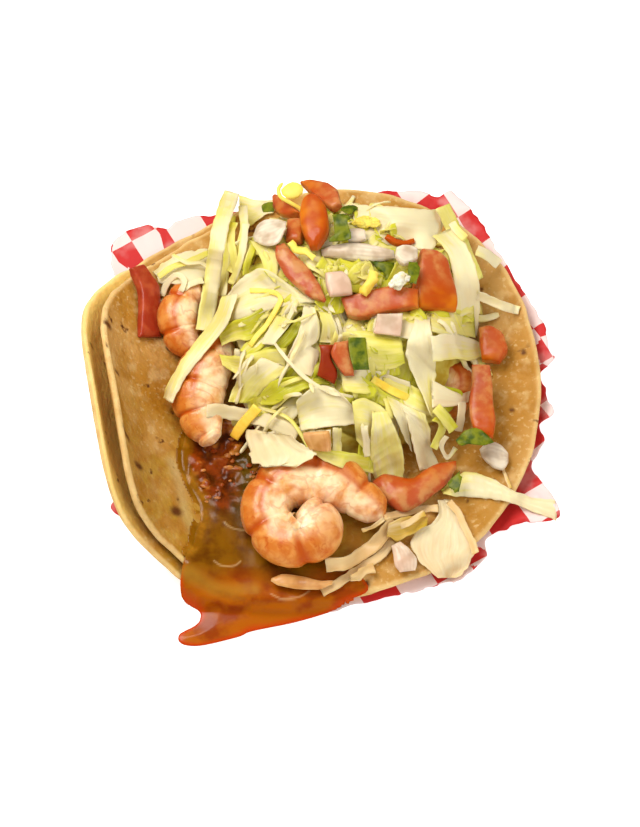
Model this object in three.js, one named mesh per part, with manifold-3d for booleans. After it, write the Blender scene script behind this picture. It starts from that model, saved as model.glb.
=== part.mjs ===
// An open shrimp taco: two stacked corn tortillas on a sheet of checked paper, their left side curled
// up, filled with salsa, shrimp and a heap of shredded lettuce under tomato, onion, cilantro and cheese.
// Millimetres, +Z up. The origin is the middle of the footprint, on the surface that the paper lies on.
// +Y points to the far side, and the fold of the tortillas runs near enough along it.
import * as THREE from "three";
import { mergeVertices } from "three/addons/utils/BufferGeometryUtils.js";
import Module from "manifold-3d";

const wasm = await Module();
wasm.setup();

// ---------------------------------------------------------------- driving dimensions
const GAP = 0.4; // left between pieces that touch
const STACK_GAP = 0.7; // left between the two tortillas, whose curls differ
const PAPER_THICK = 0.5;
const TORTILLA = { radius: 76.3, thick: 2.2, x: -6, y: 0.5, turn: THREE.MathUtils.degToRad(9.4) };
const FOLD_START = -29.5; // where the flat middle ends and the left side starts to curl up
const INNER = { curl: 35.3, slide: [0, 0], z: PAPER_THICK + GAP + TORTILLA.thick + STACK_GAP };
const OUTER = { curl: 43.1, slide: [-7.8, 0], z: PAPER_THICK + GAP };
const RIGHT_LIFT = { height: 6, width: 35 }; // the right rim rises by this much over this width
const WAVE = 0.7; // height of the slow waves in tortillas and paper
const HEAP = { x: 8, y: 19, long: 47.5, wide: 44, turn: THREE.MathUtils.degToRad(4), height: 31, strips: 3 };
const LETTUCE_THICK = 1.1;
const COLOURS = {
  paper: 0xd8453f, tortilla: 0xc98f45, salsa: 0xa8520f, shrimp: 0xe6a070, lettuce: 0xe3e3a0,
  tomato: 0xd8552c, onion: 0xe8dcc8, cilantro: 0x5d8a1c, cheese: 0xf2c23c, crumble: 0xf3efdc,
};

// ---------------------------------------------------------------- small helpers
const clamp01 = (x) => Math.min(1, Math.max(0, x));
const smooth = (x) => clamp01(x) ** 2 * (3 - 2 * clamp01(x));
const vec = (x, y, z) => new THREE.Vector3(x, y, z);

/** A seeded generator of numbers from 0 to 1. */
function seeded(seed) {
  let state = seed >>> 0;
  return () => {
    state = (Math.imul(state, 1664525) + 1013904223) >>> 0;
    return state / 4294967296;
  };
}

/** A geometry's closed surface as a solid, turned the right way out. */
function solidOf(geometry) {
  const bare = geometry.clone();
  for (const name of Object.keys(bare.attributes)) if (name !== "position") bare.deleteAttribute(name);
  const merged = mergeVertices(bare, 1e-4);
  const triVerts = new Uint32Array(merged.index.array);
  const make = () =>
    new wasm.Manifold(new wasm.Mesh({ numProp: 3, vertProperties: merged.attributes.position.array, triVerts }));
  const made = make();
  if (made.volume() > 0) return made;
  for (let i = 0; i < triVerts.length; i += 3) [triVerts[i], triVerts[i + 1]] = [triVerts[i + 1], triVerts[i]];
  return make();
}

/** The largest closed body of a solid: sealed hollows are filled and loose scraps dropped. */
function mainBody(solid) {
  return solid.decompose().reduce((a, b) => (b.volume() > a.volume() ? b : a));
}

/** A solid as a three.js geometry. */
function geometryOf(solid) {
  const mesh = solid.getMesh();
  const positions = new Float32Array(mesh.numVert * 3);
  for (let i = 0; i < mesh.numVert; i++) {
    positions.set(mesh.vertProperties.subarray(i * mesh.numProp, i * mesh.numProp + 3), i * 3);
  }
  return new THREE.BufferGeometry()
    .setAttribute("position", new THREE.BufferAttribute(positions, 3))
    .setIndex(new THREE.BufferAttribute(mesh.triVerts, 1));
}

/** A closed body from rows of points, each a ring, with a fan to a tip at either end, faced outwards. */
function ringsToGeometry(rows, firstTip, lastTip) {
  const sides = rows[0].length;
  const points = [...rows.flat(), firstTip, lastTip];
  const faces = [];
  const last = (rows.length - 1) * sides;
  for (let i = 0; i < rows.length - 1; i++) {
    for (let j = 0; j < sides; j++) {
      const [a, b] = [i * sides + j, i * sides + ((j + 1) % sides)];
      faces.push(a, b, b + sides, a, b + sides, a + sides);
    }
  }
  for (let j = 0; j < sides; j++) {
    const k = (j + 1) % sides;
    faces.push(points.length - 2, k, j, points.length - 1, last + j, last + k);
  }
  const volume = faces.reduce((sum, _, i) => {
    if (i % 3) return sum;
    const [a, b, c] = [points[faces[i]], points[faces[i + 1]], points[faces[i + 2]]];
    return sum + a.dot(vec().crossVectors(b, c));
  }, 0);
  const geometry = new THREE.BufferGeometry().setFromPoints(points);
  geometry.setIndex(volume < 0 ? faces.reverse() : faces);
  return geometry;
}

/** A round or lobed sheet: top and bottom give a point for a share s of the radius and an angle a. */
function sheet(top, bottom, rings, sectors, bunch = 0.8) {
  const ring = (side, s) =>
    Array.from({ length: sectors }, (_, k) => side(s, (2 * Math.PI * k) / sectors));
  const shares = Array.from({ length: rings }, (_, i) => ((i + 1) / rings) ** bunch);
  const rows = [...shares.map((s) => ring(top, s)), ...shares.reverse().map((s) => ring(bottom, s))];
  return ringsToGeometry(rows, top(0, 0), bottom(0, 0));
}

/**
 * A section carried along a path. path(t) gives the centre and up(t) the section's up; section(t)
 * gives [sideways, up] offsets, all for t from 0 to 1.
 */
function sweep(path, up, section, steps) {
  const rows = [];
  for (let i = 0; i <= steps; i++) {
    const t = i / steps;
    const along = path(Math.min(1, t + 1e-3)).sub(path(Math.max(0, t - 1e-3))).normalize();
    const side = vec().crossVectors(along, up(t)).normalize();
    const over = vec().crossVectors(side, along);
    const centre = path(t);
    rows.push(section(t).map(([x, y]) => centre.clone().addScaledVector(side, x).addScaledVector(over, y)));
  }
  return ringsToGeometry(rows, path(0), path(1));
}

/** An oval section of so many sides. */
function oval(halfWidth, halfHeight, sides) {
  return Array.from({ length: sides }, (_, k) => {
    const a = (2 * Math.PI * (k + 0.5)) / sides;
    return [halfWidth * Math.cos(a), halfHeight * Math.sin(a)];
  });
}

// ---------------------------------------------------------------- tortillas and paper
/** The same surface let down far below everything, which makes a sheet a solid to cut with. */
const below = (top) => (s, a) => top(s, a).setZ(-20);

/** The slow waves that tortillas and paper share, never below zero. */
function wave(x, y) {
  return WAVE * (1 + 0.6 * Math.sin(x / 13 + y / 29) + 0.4 * Math.sin(y / 11 - x / 31)) * 0.5;
}

/** A plan point measured across (u) and along (v) the fold, from the tortilla's middle. */
function acrossAndAlong(x, y) {
  const [dx, dy] = [x - TORTILLA.x, y - TORTILLA.y];
  const [c, s] = [Math.cos(TORTILLA.turn), Math.sin(TORTILLA.turn)];
  return [dx * c + dy * s, -dx * s + dy * c];
}

/** The plan point that lies u across and v along the fold. */
function planPoint(u, v) {
  const [c, s] = [Math.cos(TORTILLA.turn), Math.sin(TORTILLA.turn)];
  return [TORTILLA.x + u * c - v * s, TORTILLA.y + u * s + v * c];
}

/** How far the right side lifts, u across the fold, where the lift starts shift later. */
function rightLift(u, shift = 0) {
  return RIGHT_LIFT.height * clamp01((u - shift - (TORTILLA.radius - RIGHT_LIFT.width)) / RIGHT_LIFT.width) ** 2;
}

/** A tortilla's uneven radius at angle a. */
function tortillaRadius(a) {
  return TORTILLA.radius * (1 + 0.072 * Math.cos(2 * (a - 0.245)) + 0.042 * Math.cos(3 * (a - 1.115)));
}

/** A tortilla: flat, curled up in an arc of radius curl on the left, with a lifted right rim. */
function tortilla({ curl, slide, z }, floor = false) {
  const surface = (offset) => (s, a) => {
    const r = (tortillaRadius(a) + (floor ? 4 * GAP : 0)) * s;
    const flatU = r * Math.cos(a) + slide[0];
    const v = r * Math.sin(a) + slide[1];
    const middle = z + TORTILLA.thick / 2;
    const angle = Math.max(0, (FOLD_START - flatU) / curl);
    const reach = curl - offset;
    const u = angle > 0 ? FOLD_START - reach * Math.sin(angle) : flatU;
    const height = angle > 0 ? middle + curl - reach * Math.cos(angle) : middle + offset;
    const [x, y] = planPoint(u, v);
    return vec(x, y, height + rightLift(flatU) + wave(x, y));
  };
  const top = surface(TORTILLA.thick / 2 + (floor ? GAP : 0));
  return sheet(top, floor ? below(top) : surface(-TORTILLA.thick / 2), 6, 44);
}

/** Height of the upper tortilla's top face above a plan point. */
function tortillaTop(x, y) {
  const [u] = acrossAndAlong(x, y);
  const top = INNER.z + TORTILLA.thick + wave(x, y) + rightLift(u);
  const reach = INNER.curl - TORTILLA.thick / 2;
  const past = Math.min(FOLD_START - u, reach * 0.97);
  return past > 0 ? top + reach - Math.sqrt(reach ** 2 - past ** 2) : top;
}

// The paper's torn and folded edge, going round from the far left corner. x and y.
const PAPER_EDGE = [
  [-75, 58], [-73, 65], [-57, 68], [-46, 74], [-26, 77], [3, 79], [22, 81], [41, 74], [47, 79], [55, 70],
  [62, 55], [69.5, 37], [75, 25], [77, 13], [72, 8], [72, 2], [76, -4], [71, -10], [74, -16], [69, -23],
  [68, -28], [72, -33], [75, -40], [68, -41], [63, -43], [53, -49], [51, -55], [42, -60], [39, -63],
  [28, -64.5], [12, -69], [-7, -76], [-26, -81], [-36, -82], [-43, -80], [-43, -77], [-37, -71], [-43, -65],
  [-41, -60], [-47, -54], [-53, -43], [-52, -20], [-56, 10], [-66, 35],
];

/** Height of the paper's lower face: flat, but for the right side that follows the tortillas up. */
function paperHeight(x, y) {
  const [u, v] = acrossAndAlong(x, y);
  const [du, dv] = [u - OUTER.slide[0], v - OUTER.slide[1]];
  const outside = smooth((Math.hypot(du, dv) - tortillaRadius(Math.atan2(dv, du)) - 3) / 8);
  const ruffle = 1.1 * outside * (1 + Math.sin(Math.atan2(v, u) * 17));
  return 0.8 * rightLift(u, 4) + ruffle * smooth((u + 20) / 30);
}

/** The sheet of paper: its edge joined to the middle by rings. */
function paper(floor = false) {
  const edge = PAPER_EDGE.map(([x, y]) => vec(x, y, 0));
  const outline = new THREE.CatmullRomCurve3(edge, true, "catmullrom", 0.15);
  const middle = vec(2, 0, 0);
  const surface = (lift) => (s, a) => {
    const point = middle.clone().lerp(outline.getPoint(1 - a / (2 * Math.PI)), s);
    return point.setZ(paperHeight(point.x, point.y) + lift);
  };
  const top = surface(PAPER_THICK + (floor ? GAP : 0));
  return sheet(top, floor ? below(top) : surface(0), 4, 64, 0.35);
}

// ---------------------------------------------------------------- salsa
// The salsa's middle line from the valley, over the near rim and out over the paper: x, y, half width.
const SALSA_LINE = [
  [-32, -4, 3], [-33, -13, 8], [-32, -22, 11], [-31, -36, 13], [-28, -47, 15], [-23, -57, 20], [-19, -65, 24],
  [-20, -71, 20], [-22, -76, 12], [-23, -79, 5],
];
const SALSA_DEEP = 1.6;

/** The pool of salsa in the valley and its spill on the paper, one body that lies on what is there. */
function salsa(grow = 0) {
  const line = new THREE.CatmullRomCurve3(SALSA_LINE.map(([x, y]) => vec(x, y, 0)));
  const widths = new THREE.CatmullRomCurve3(SALSA_LINE.map(([, , w], i) => vec(i, w, 0)));
  const across = 8;
  const steps = 24;
  const rows = [];
  for (let i = 0; i <= steps; i++) {
    const t = i / steps;
    const centre = line.getPoint(t);
    const along = line.getTangent(t);
    const half = widths.getPoint(t).y + grow;
    const face = (top) =>
      Array.from({ length: across + 1 }, (_, k) => {
        const w = (2 * k) / across - 1;
        const [x, y] = [centre.x - along.y * w * half, centre.y + along.x * w * half];
        const dome = (1 - w * w * 0.8) * (0.3 + 0.7 * smooth(Math.min(t, 1 - t) * 8));
        return vec(x, y, top ? ground.highest(x, y, 3.5) + GAP + 0.3 + SALSA_DEEP * dome + grow : -10);
      });
    rows.push([...face(false), ...face(true).reverse()]);
  }
  const middle = (row) => row.reduce((sum, p) => sum.add(p), vec(0, 0, 0)).divideScalar(row.length);
  const whole = solidOf(ringsToGeometry(rows, middle(rows[0]), middle(rows[steps])))
    .trimByPlane([0, 0, 1], PAPER_THICK + GAP);
  const floors = [paper(true), tortilla(OUTER, true), tortilla(INNER, true)];
  return mainBody(floors.reduce((left, floor) => left.subtract(solidOf(floor)), whole));
}

// ---------------------------------------------------------------- the heap's form
/** Height of the heap's lumpy outside, or of the tortilla where the heap has ended. */
function heapTop(x, y) {
  const [c, s] = [Math.cos(HEAP.turn), Math.sin(HEAP.turn)];
  const [dx, dy] = [x - HEAP.x, y - HEAP.y];
  const share = Math.hypot((dx * c + dy * s) / HEAP.wide, (-dx * s + dy * c) / HEAP.long);
  const base = tortillaTop(x, y);
  if (share >= 1) return base;
  const lumps = 1.1 * Math.sin(x / 5.2 + y / 9) + 0.9 * Math.sin(y / 4.6 - x / 8);
  const tilt = 0.92 + (0.25 * (-dx * s + dy * c)) / HEAP.long; // the far side stands higher
  return base + HEAP.height * tilt * (1 - share ** 4) ** 0.55 + lumps * (1 - share);
}

/** The heap's outward direction above a plan point, from its slope over a few millimetres. */
function heapUp(x, y, share = 1) {
  const reach = 4;
  const slopeX = (heapTop(x + reach, y) - heapTop(x - reach, y)) / (2 * reach);
  const slopeY = (heapTop(x, y + reach) - heapTop(x, y - reach)) / (2 * reach);
  return vec(-slopeX * share, -slopeY * share, 1).normalize();
}

/** Height of the core, which stays below the outside by the depth of the strips. */
const coreTop = (x, y) => Math.max(heapTop(x, y) - HEAP.strips, tortillaTop(x, y) + 2);

/** The lumpy core of the heap, set on the tortilla. */
function heapCore() {
  const edge = 0.95;
  const surface = (top) => (s, a) => {
    const [c, n] = [Math.cos(HEAP.turn), Math.sin(HEAP.turn)];
    const [p, q] = [HEAP.wide * edge * s * Math.cos(a), HEAP.long * edge * s * Math.sin(a)];
    const [x, y] = [HEAP.x + p * c - q * n, HEAP.y + p * n + q * c];
    return vec(x, y, top ? coreTop(x, y) : tortillaTop(x, y) + GAP);
  };
  return sheet(surface(true), surface(false), 7, 32);
}

// ---------------------------------------------------------------- forms of the pieces
/** A peeled shrimp: a tube along points [x, y, z, half thickness] from tail to head, pinched at each segment. */
function shrimp({ spine, x, y, grow = 0 }) {
  const line = new THREE.CatmullRomCurve3(spine.map(([px, py, pz]) => vec(px - x, py - y, pz)));
  const halves = new THREE.CatmullRomCurve3(spine.map(([, , , half], i) => vec(i, half, 0)));
  const path = (t) => line.getPoint(t).addScaledVector(line.getTangent(t), grow * (2 * t - 1) ** 5);
  const section = (t) => {
    const pinch = 1 - 0.08 * Math.abs(Math.cos(Math.PI * t * 6)) ** 8;
    const end = Math.min(1, 0.55 + 5 * t, 0.55 + 5 * (1 - t));
    const half = halves.getPoint(t).y * pinch * end + grow;
    return oval(half, half * 0.9, 10);
  };
  return sweep(path, () => vec(0, 0, 1), section, 20);
}

/** A spindle of tomato or onion: pointed at both ends, round on its skin side and flat below. */
function wedge({ length, width, thick, bow = 0 }) {
  const path = (t) => vec((t - 0.5) * length, bow * (1 - (2 * t - 1) ** 2), 0);
  const section = (t) => {
    const full = Math.sin(Math.PI * (0.06 + 0.88 * t)) ** 0.7;
    const [w, h] = [(width / 2) * full, (thick / 2) * full];
    return [[w, -0.7 * h], [0.75 * w, 0.5 * h], [0, h], [-0.75 * w, 0.5 * h], [-w, -0.7 * h], [0, -h]];
  };
  return sweep(path, () => vec(0, 0, 1), section, 8);
}

/** A cut block with leaning, slightly bulged sides. */
function dice({ length, width, thick, seed = 1 }) {
  const random = seeded(seed);
  const lean = Array.from({ length: 4 }, () => 0.16 * (random() - 0.5));
  const path = (t) => vec((t - 0.5) * length, 0, 0.06 * length * Math.sin(Math.PI * t));
  const section = (t) => {
    const w = (width / 2) * (0.84 + 0.16 * Math.sin(Math.PI * t) + lean[0] * (t - 0.5));
    const h = (thick / 2) * (0.84 + 0.16 * Math.sin(Math.PI * t) + lean[1] * (t - 0.5));
    return [
      [w, -0.8 * h], [w * (1.02 + lean[2]), 0.8 * h], [0.8 * w, h], [-0.8 * w, h * (1 + lean[3])],
      [-w, 0.8 * h], [-w * 0.96, -0.8 * h], [-0.8 * w, -h], [0.8 * w, -h],
    ];
  };
  return sweep(path, () => vec(0, 0, 1), section, 4);
}

/** A shred of flat section along an arc that turns by bend degrees and arches by rise. */
function shred({ length, width, thick, bend = 0, rise = 0 }) {
  const turn = THREE.MathUtils.degToRad(bend);
  const path = (t) => {
    const a = turn * (t - 0.5);
    const [x, y] = turn ? [(length / turn) * Math.sin(a), (length / turn) * (1 - Math.cos(a))] : [(t - 0.5) * length, 0];
    return vec(x, y, rise * Math.sin(Math.PI * t));
  };
  const section = () => [[width / 2, -thick / 2], [width / 2, thick / 2], [-width / 2, thick / 2], [-width / 2, -thick / 2]];
  return sweep(path, () => vec(0, 0, 1), section, Math.max(4, Math.round(Math.abs(bend) / 20)));
}

/** A lobed, cupped and wavy leaf, both faces alike. */
function leaf({ length, width, thick = 0.5, lobes = 5, cup = 1 }) {
  const surface = (lift) => (s, a) => {
    const r = s * (0.8 + 0.2 * Math.cos(lobes * a));
    const [x, y] = [(length / 2) * r * Math.cos(a), (width / 2) * r * Math.sin(a)];
    return vec(x, y, cup * r * r + 0.35 * s * Math.sin(2 * a + 1) + lift);
  };
  return sheet(surface(thick / 2), surface(-thick / 2), 2, 14);
}

/** A lump of grated curd: a ball with uneven radius. */
function crumb({ length, width, thick, seed = 3 }) {
  const random = seeded(seed);
  const geometry = new THREE.IcosahedronGeometry(0.5, 1);
  const merged = mergeVertices(geometry.deleteAttribute("normal").deleteAttribute("uv"), 1e-4);
  const position = merged.attributes.position;
  for (let i = 0; i < position.count; i++) {
    const k = 0.8 + 0.35 * random();
    position.setXYZ(i, position.getX(i) * length * k, position.getY(i) * width * k, position.getZ(i) * thick * k);
  }
  return merged;
}

const FORMS = { wedge, dice, shred, leaf, crumb, shrimp };

// ---------------------------------------------------------------- what lies where
// Each loose piece: its form and sizes, x, y, the direction of its length in plan (yaw, degrees), how
// far it leans about its own length (roll) and across it (pitch), and what it is made of. lay 1 sets it
// flat on the heap's slope, lay 0 leaves it level. They are listed in the order in which they lie.
const SHRIMP = [
  {
    name: "shrimp_front", x: -5, y: -45, form: "shrimp",
    spine: [
      [18.4, -48.4, 1, 1.8], [12.5, -42.4, 1.5, 4.2], [5.5, -37.5, 1, 6], [-2, -35, 0.5, 7.2], [-9.5, -34.5, 0, 8],
      [-15.5, -38.5, 0, 8.2], [-17.5, -45, 0, 8.2], [-15, -51.5, 0.5, 8.4], [-8.5, -54.8, 1.5, 8.4],
      [-2.5, -52, 2.5, 7.4], [0.5, -48.5, 3, 5],
    ],
  },
  {
    name: "shrimp_middle", x: -37, y: -6, form: "shrimp",
    spine: [
      [-28, 7.5, 1, 4.5], [-34.5, 6, 0.5, 6], [-38.5, -1.8, 0, 7], [-40, -10.4, 0, 7], [-38.5, -17.6, 0, 6], [-34, -21, 0, 4.2],
    ],
  },
  {
    name: "shrimp_back", x: -45, y: 21, form: "shrimp",
    spine: [[-39, 30.5, 1, 4.5], [-44, 28.5, 0.5, 6], [-47, 21.5, 0, 6.6], [-44.5, 15.5, 0, 5.6], [-41.5, 13.5, 0, 4.2]],
  },
  {
    name: "shrimp_right", x: 42, y: 2, form: "shrimp",
    spine: [[34, 9, 0, 3.6], [41, 8, 0, 5], [45.5, 1.5, 0, 5.4], [45, -5.5, 0, 4.8], [40.5, -9.5, 0, 3.2]],
  },
];

const TOPPINGS = [
  { name: "tomato_right", of: "tomato", x: 56.2, y: 15.1, yaw: -58, form: "dice", length: 12, width: 8.5, thick: 6, seed: 5 },
  { name: "tomato_rim", of: "tomato", x: 51.9, y: -7.1, yaw: -88, form: "wedge", length: 24, width: 7.5, thick: 5 },
  { name: "onion_right", of: "onion", x: 56.2, y: -25.9, yaw: -34, form: "dice", length: 10.5, width: 7.5, thick: 4.5, seed: 8 },
  { name: "tomato_wall", of: "tomato", x: -56.6, y: 31.4, yaw: -80, roll: -38, form: "wedge", length: 25, width: 6.5, thick: 4.5, bow: -1.5 },
  { name: "tomato_front", of: "tomato", x: 29.2, y: -33.9, yaw: 17, form: "wedge", length: 27, width: 9.5, thick: 6, bow: -2, lay: 0.6 },
  { name: "onion_crescent", of: "onion", x: -4.9, y: -67, yaw: -9, form: "wedge", length: 24, width: 5.5, thick: 2.6, bow: -2.5 },
  { name: "onion_near", of: "onion", x: 26.7, y: -60, yaw: -57, form: "dice", length: 9, width: 6, thick: 4, seed: 12 },
  { name: "onion_gap", of: "onion", x: -3.8, y: -23.5, yaw: 0, form: "dice", length: 10, width: 5, thick: 3.5, lay: 0.8, seed: 2 },
  { name: "cilantro_right", of: "cilantro", x: 49.3, y: -20.8, yaw: 15, form: "leaf", length: 12, width: 7 },
  { name: "cilantro_front", of: "cilantro", x: 43.3, y: -34.3, yaw: 18, form: "leaf", length: 7, width: 6, cup: 1.4 },
  { name: "tomato_gap", of: "tomato", x: 1, y: 1, yaw: -90, form: "dice", length: 12, width: 7, thick: 5, lay: 0.9, seed: 21 },
  { name: "tomato_pale", of: "tomato", x: 8, y: 2, yaw: -83, roll: 20, form: "dice", length: 11.5, width: 6, thick: 4, lay: 0.9, seed: 22 },
  { name: "cilantro_big", of: "cilantro", x: 13.5, y: 1.5, yaw: -73, form: "leaf", length: 13, width: 8, lobes: 3, lay: 0.9 },
  { name: "tomato_far", of: "tomato", x: 0, y: 61.3, yaw: -22, form: "dice", length: 14, width: 7, thick: 5, lay: 0.7, seed: 31 },
  { name: "tomato_crest", of: "tomato", x: -11.8, y: 58, yaw: -72, form: "dice", length: 12, width: 8, thick: 6, lay: 0.7, seed: 32 },
  { name: "tomato_under", of: "tomato", x: -9, y: 44.8, yaw: -83, form: "dice", length: 10, width: 8, thick: 5, lay: 0.8, seed: 33 },
  { name: "onion_left", of: "onion", x: -17, y: 44.4, yaw: 27, form: "dice", length: 12, width: 7, thick: 3.5, lay: 0.9, seed: 34 },
  { name: "tomato_long", of: "tomato", x: -7.4, y: 30.7, yaw: -52, form: "wedge", length: 25, width: 7.5, thick: 4.5, lay: 0.9 },
  { name: "tomato_wedge", of: "tomato", x: -3, y: 45.7, yaw: -84, roll: 20, form: "wedge", length: 20, width: 10, thick: 7, lay: 0.7 },
  { name: "tomato_side", of: "tomato", x: 36.4, y: 28.6, yaw: -68, form: "dice", length: 19, width: 11, thick: 8, lay: 0.8, seed: 41 },
  { name: "tomato_skin", of: "tomato", x: 26, y: 43, yaw: 9, form: "wedge", length: 11, width: 3.5, thick: 2.2, lay: 0.9 },
  { name: "tomato_block", of: "tomato", x: 18.3, y: 21.3, yaw: 9, form: "dice", length: 18, width: 8.5, thick: 6, lay: 0.8, seed: 42 },
  { name: "onion_cube", of: "onion", x: 5, y: 24.9, yaw: -40, form: "dice", length: 9, width: 8, thick: 5, lay: 0.9, seed: 43 },
  { name: "onion_sliver", of: "onion", x: 11.3, y: 35, yaw: 0, form: "wedge", length: 22, width: 7, thick: 3.2, bow: 1, lay: 0.8 },
  { name: "onion_far", of: "onion", x: 11.4, y: 44.9, yaw: -10, form: "dice", length: 7, width: 4.5, thick: 3, lay: 0.9, seed: 44 },
  { name: "onion_pale", of: "onion", x: 27.5, y: 34.5, yaw: -31, form: "dice", length: 8, width: 6, thick: 3.5, lay: 0.8, seed: 45 },
  { name: "onion_low", of: "onion", x: 21.4, y: 13.8, yaw: -12, form: "dice", length: 10, width: 6.5, thick: 3.5, lay: 0.9, seed: 46 },
  { name: "cilantro_crest", of: "cilantro", x: 5.5, y: 42, yaw: -82, form: "leaf", length: 13, width: 7, cup: 1.8, lay: 0.8 },
  { name: "cilantro_left", of: "cilantro", x: -17.2, y: 57, yaw: 30, form: "leaf", length: 6, width: 5, lay: 0.9 },
  { name: "cilantro_far", of: "cilantro", x: 8.8, y: 54.6, yaw: 9, form: "leaf", length: 7, width: 4, lay: 0.9 },
  { name: "cilantro_top", of: "cilantro", x: 17.6, y: 30.1, yaw: -27, form: "leaf", length: 9, width: 6.5, cup: 1.6, lay: 0.8 },
  { name: "cilantro_side", of: "cilantro", x: 29.2, y: 30, yaw: -86, form: "leaf", length: 8, width: 5, lay: 0.9 },
  { name: "cheese_curl", of: "cheese", x: -10.1, y: 60.9, yaw: 0, form: "crumb", length: 7, width: 6.5, thick: 4, lay: 0.5 },
  { name: "cheese_left", of: "cheese", x: -20.2, y: 17.8, yaw: -95, form: "shred", length: 26, width: 2, thick: 1.5, bend: 85, lay: 0.95 },
  { name: "cheese_far", of: "cheese", x: 15, y: 51.3, yaw: 0, form: "crumb", length: 10, width: 5, thick: 3.5, lay: 0.8, seed: 9 },
  { name: "cheese_top", of: "cheese", x: -6.4, y: 34, yaw: -32, form: "shred", length: 9, width: 2.4, thick: 1.5, bend: 30, rise: 0.8, lay: 0.8 },
  { name: "cheese_block", of: "cheese", x: 15.2, y: 23.7, yaw: 52, form: "crumb", length: 9, width: 4, thick: 3.5, lay: 0.6, seed: 10 },
  { name: "cheese_low", of: "cheese", x: -24, y: -13, yaw: -124, form: "shred", length: 13, width: 2.8, thick: 1.8, bend: 20, rise: 1, lay: 0.4 },
  { name: "cheese_front", of: "cheese", x: 22, y: -7.6, yaw: -37, form: "shred", length: 12, width: 2.4, thick: 1.6, bend: 15, lay: 0.9 },
  { name: "crumble_top", of: "crumble", x: 25, y: 25.4, yaw: 31, form: "crumb", length: 9.5, width: 6, thick: 4, lay: 0.6, seed: 11 },
];

// Lettuce that lies apart from the heap.
const LOOSE_LETTUCE = [
  { name: "lettuce_cream", of: "lettuce", x: -9.3, y: -25.4, yaw: -14, form: "shred", length: 24, width: 8, thick: 2, bend: -20, rise: 2 },
  { name: "lettuce_front_leaf", of: "lettuce", x: 38.3, y: -53.6, yaw: -100, form: "shred", length: 26, width: 14, thick: LETTUCE_THICK, bend: 25, rise: 3 },
  { name: "lettuce_right_strip", of: "lettuce", x: 57.2, y: -35.1, yaw: -14, form: "shred", length: 36, width: 7.5, thick: LETTUCE_THICK, bend: -22, rise: 2.5 },
  { name: "lettuce_rib", of: "lettuce", x: 13, y: -54, yaw: 40, form: "shred", length: 30, width: 3, thick: 2, bend: 40, rise: 1 },
];

// ---------------------------------------------------------------- setting the pieces down
/** The highest and lowest surface over a plan grid, by which pieces are let down on each other. */
class Ground {
  constructor(cell = 0.7, half = 95) {
    Object.assign(this, { cell, half, count: Math.ceil((2 * half) / cell) });
    this.height = new Float32Array(this.count ** 2).fill(0);
  }

  /** Calls visit(cell index, z) at each grid cell that a geometry's triangles cover. */
  cover(geometry, visit) {
    const position = geometry.attributes.position;
    const index = geometry.index.array;
    const at = (value) => (value + this.half) / this.cell;
    for (let i = 0; i < index.length; i += 3) {
      const [a, b, c] = [0, 1, 2].map((k) => vec().fromBufferAttribute(position, index[i + k]));
      for (const p of [a, b, c]) visit(Math.round(at(p.y)) * this.count + Math.round(at(p.x)), p.z);
      const area = (b.x - a.x) * (c.y - a.y) - (c.x - a.x) * (b.y - a.y);
      if (Math.abs(area) < 1e-9) continue;
      const [x0, x1] = [Math.min(a.x, b.x, c.x), Math.max(a.x, b.x, c.x)].map(at);
      const [y0, y1] = [Math.min(a.y, b.y, c.y), Math.max(a.y, b.y, c.y)].map(at);
      for (let row = Math.ceil(y0); row <= y1; row++) {
        for (let col = Math.ceil(x0); col <= x1; col++) {
          const [x, y] = [col * this.cell - this.half, row * this.cell - this.half];
          const wb = ((x - a.x) * (c.y - a.y) - (c.x - a.x) * (y - a.y)) / area;
          const wc = ((b.x - a.x) * (y - a.y) - (x - a.x) * (b.y - a.y)) / area;
          if (wb >= 0 && wc >= 0 && wb + wc <= 1) visit(row * this.count + col, a.z + wb * (b.z - a.z) + wc * (c.z - a.z));
        }
      }
    }
  }

  add(geometry) {
    this.cover(geometry, (k, z) => {
      this.height[k] = Math.max(this.height[k], z);
    });
  }

  /** The highest point within reach of a plan point. */
  highest(x, y, reach) {
    const [col, row, span] = [x + this.half, y + this.half, reach].map((value) => Math.round(value / this.cell));
    let top = -Infinity;
    for (let i = -span; i <= span; i++) {
      for (let j = -span; j <= span; j++) top = Math.max(top, this.height[(row + i) * this.count + col + j]);
    }
    return top;
  }

  /** How far a geometry has to rise to lie clear on what is there. */
  rise(geometry) {
    let most = -Infinity;
    this.cover(geometry, (k, z) => {
      most = Math.max(most, this.height[k] - z);
    });
    return most + GAP;
  }
}

const taco = new THREE.Group();
taco.name = "taco";
const ground = new Ground();
const placed = new Map(); // name to solid

/** Adds a finished geometry as a named mesh. */
function addNode(name, geometry, of) {
  const material = new THREE.MeshStandardMaterial({ color: COLOURS[of], roughness: 0.5, metalness: 0 });
  const mesh = new THREE.Mesh(geometry, material);
  mesh.name = name;
  taco.add(mesh);
  placed.set(name, solidOf(geometry));
  ground.add(geometry);
}

/** A piece's geometry turned to its yaw, roll, pitch and the slope it lies on, at x and y. */
function oriented(piece, extra = {}) {
  const { x, y, yaw = 0, roll = 0, pitch = 0, lay = 0 } = piece;
  const own = new THREE.Euler(...[roll, pitch, yaw].map(THREE.MathUtils.degToRad), "ZYX");
  const slope = new THREE.Quaternion().setFromUnitVectors(vec(0, 0, 1), heapUp(x, y, lay));
  const turn = slope.multiply(new THREE.Quaternion().setFromEuler(own));
  const geometry = FORMS[piece.form]({ ...piece, ...extra }).applyQuaternion(turn);
  return geometry.translate(x, y, 0);
}

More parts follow.
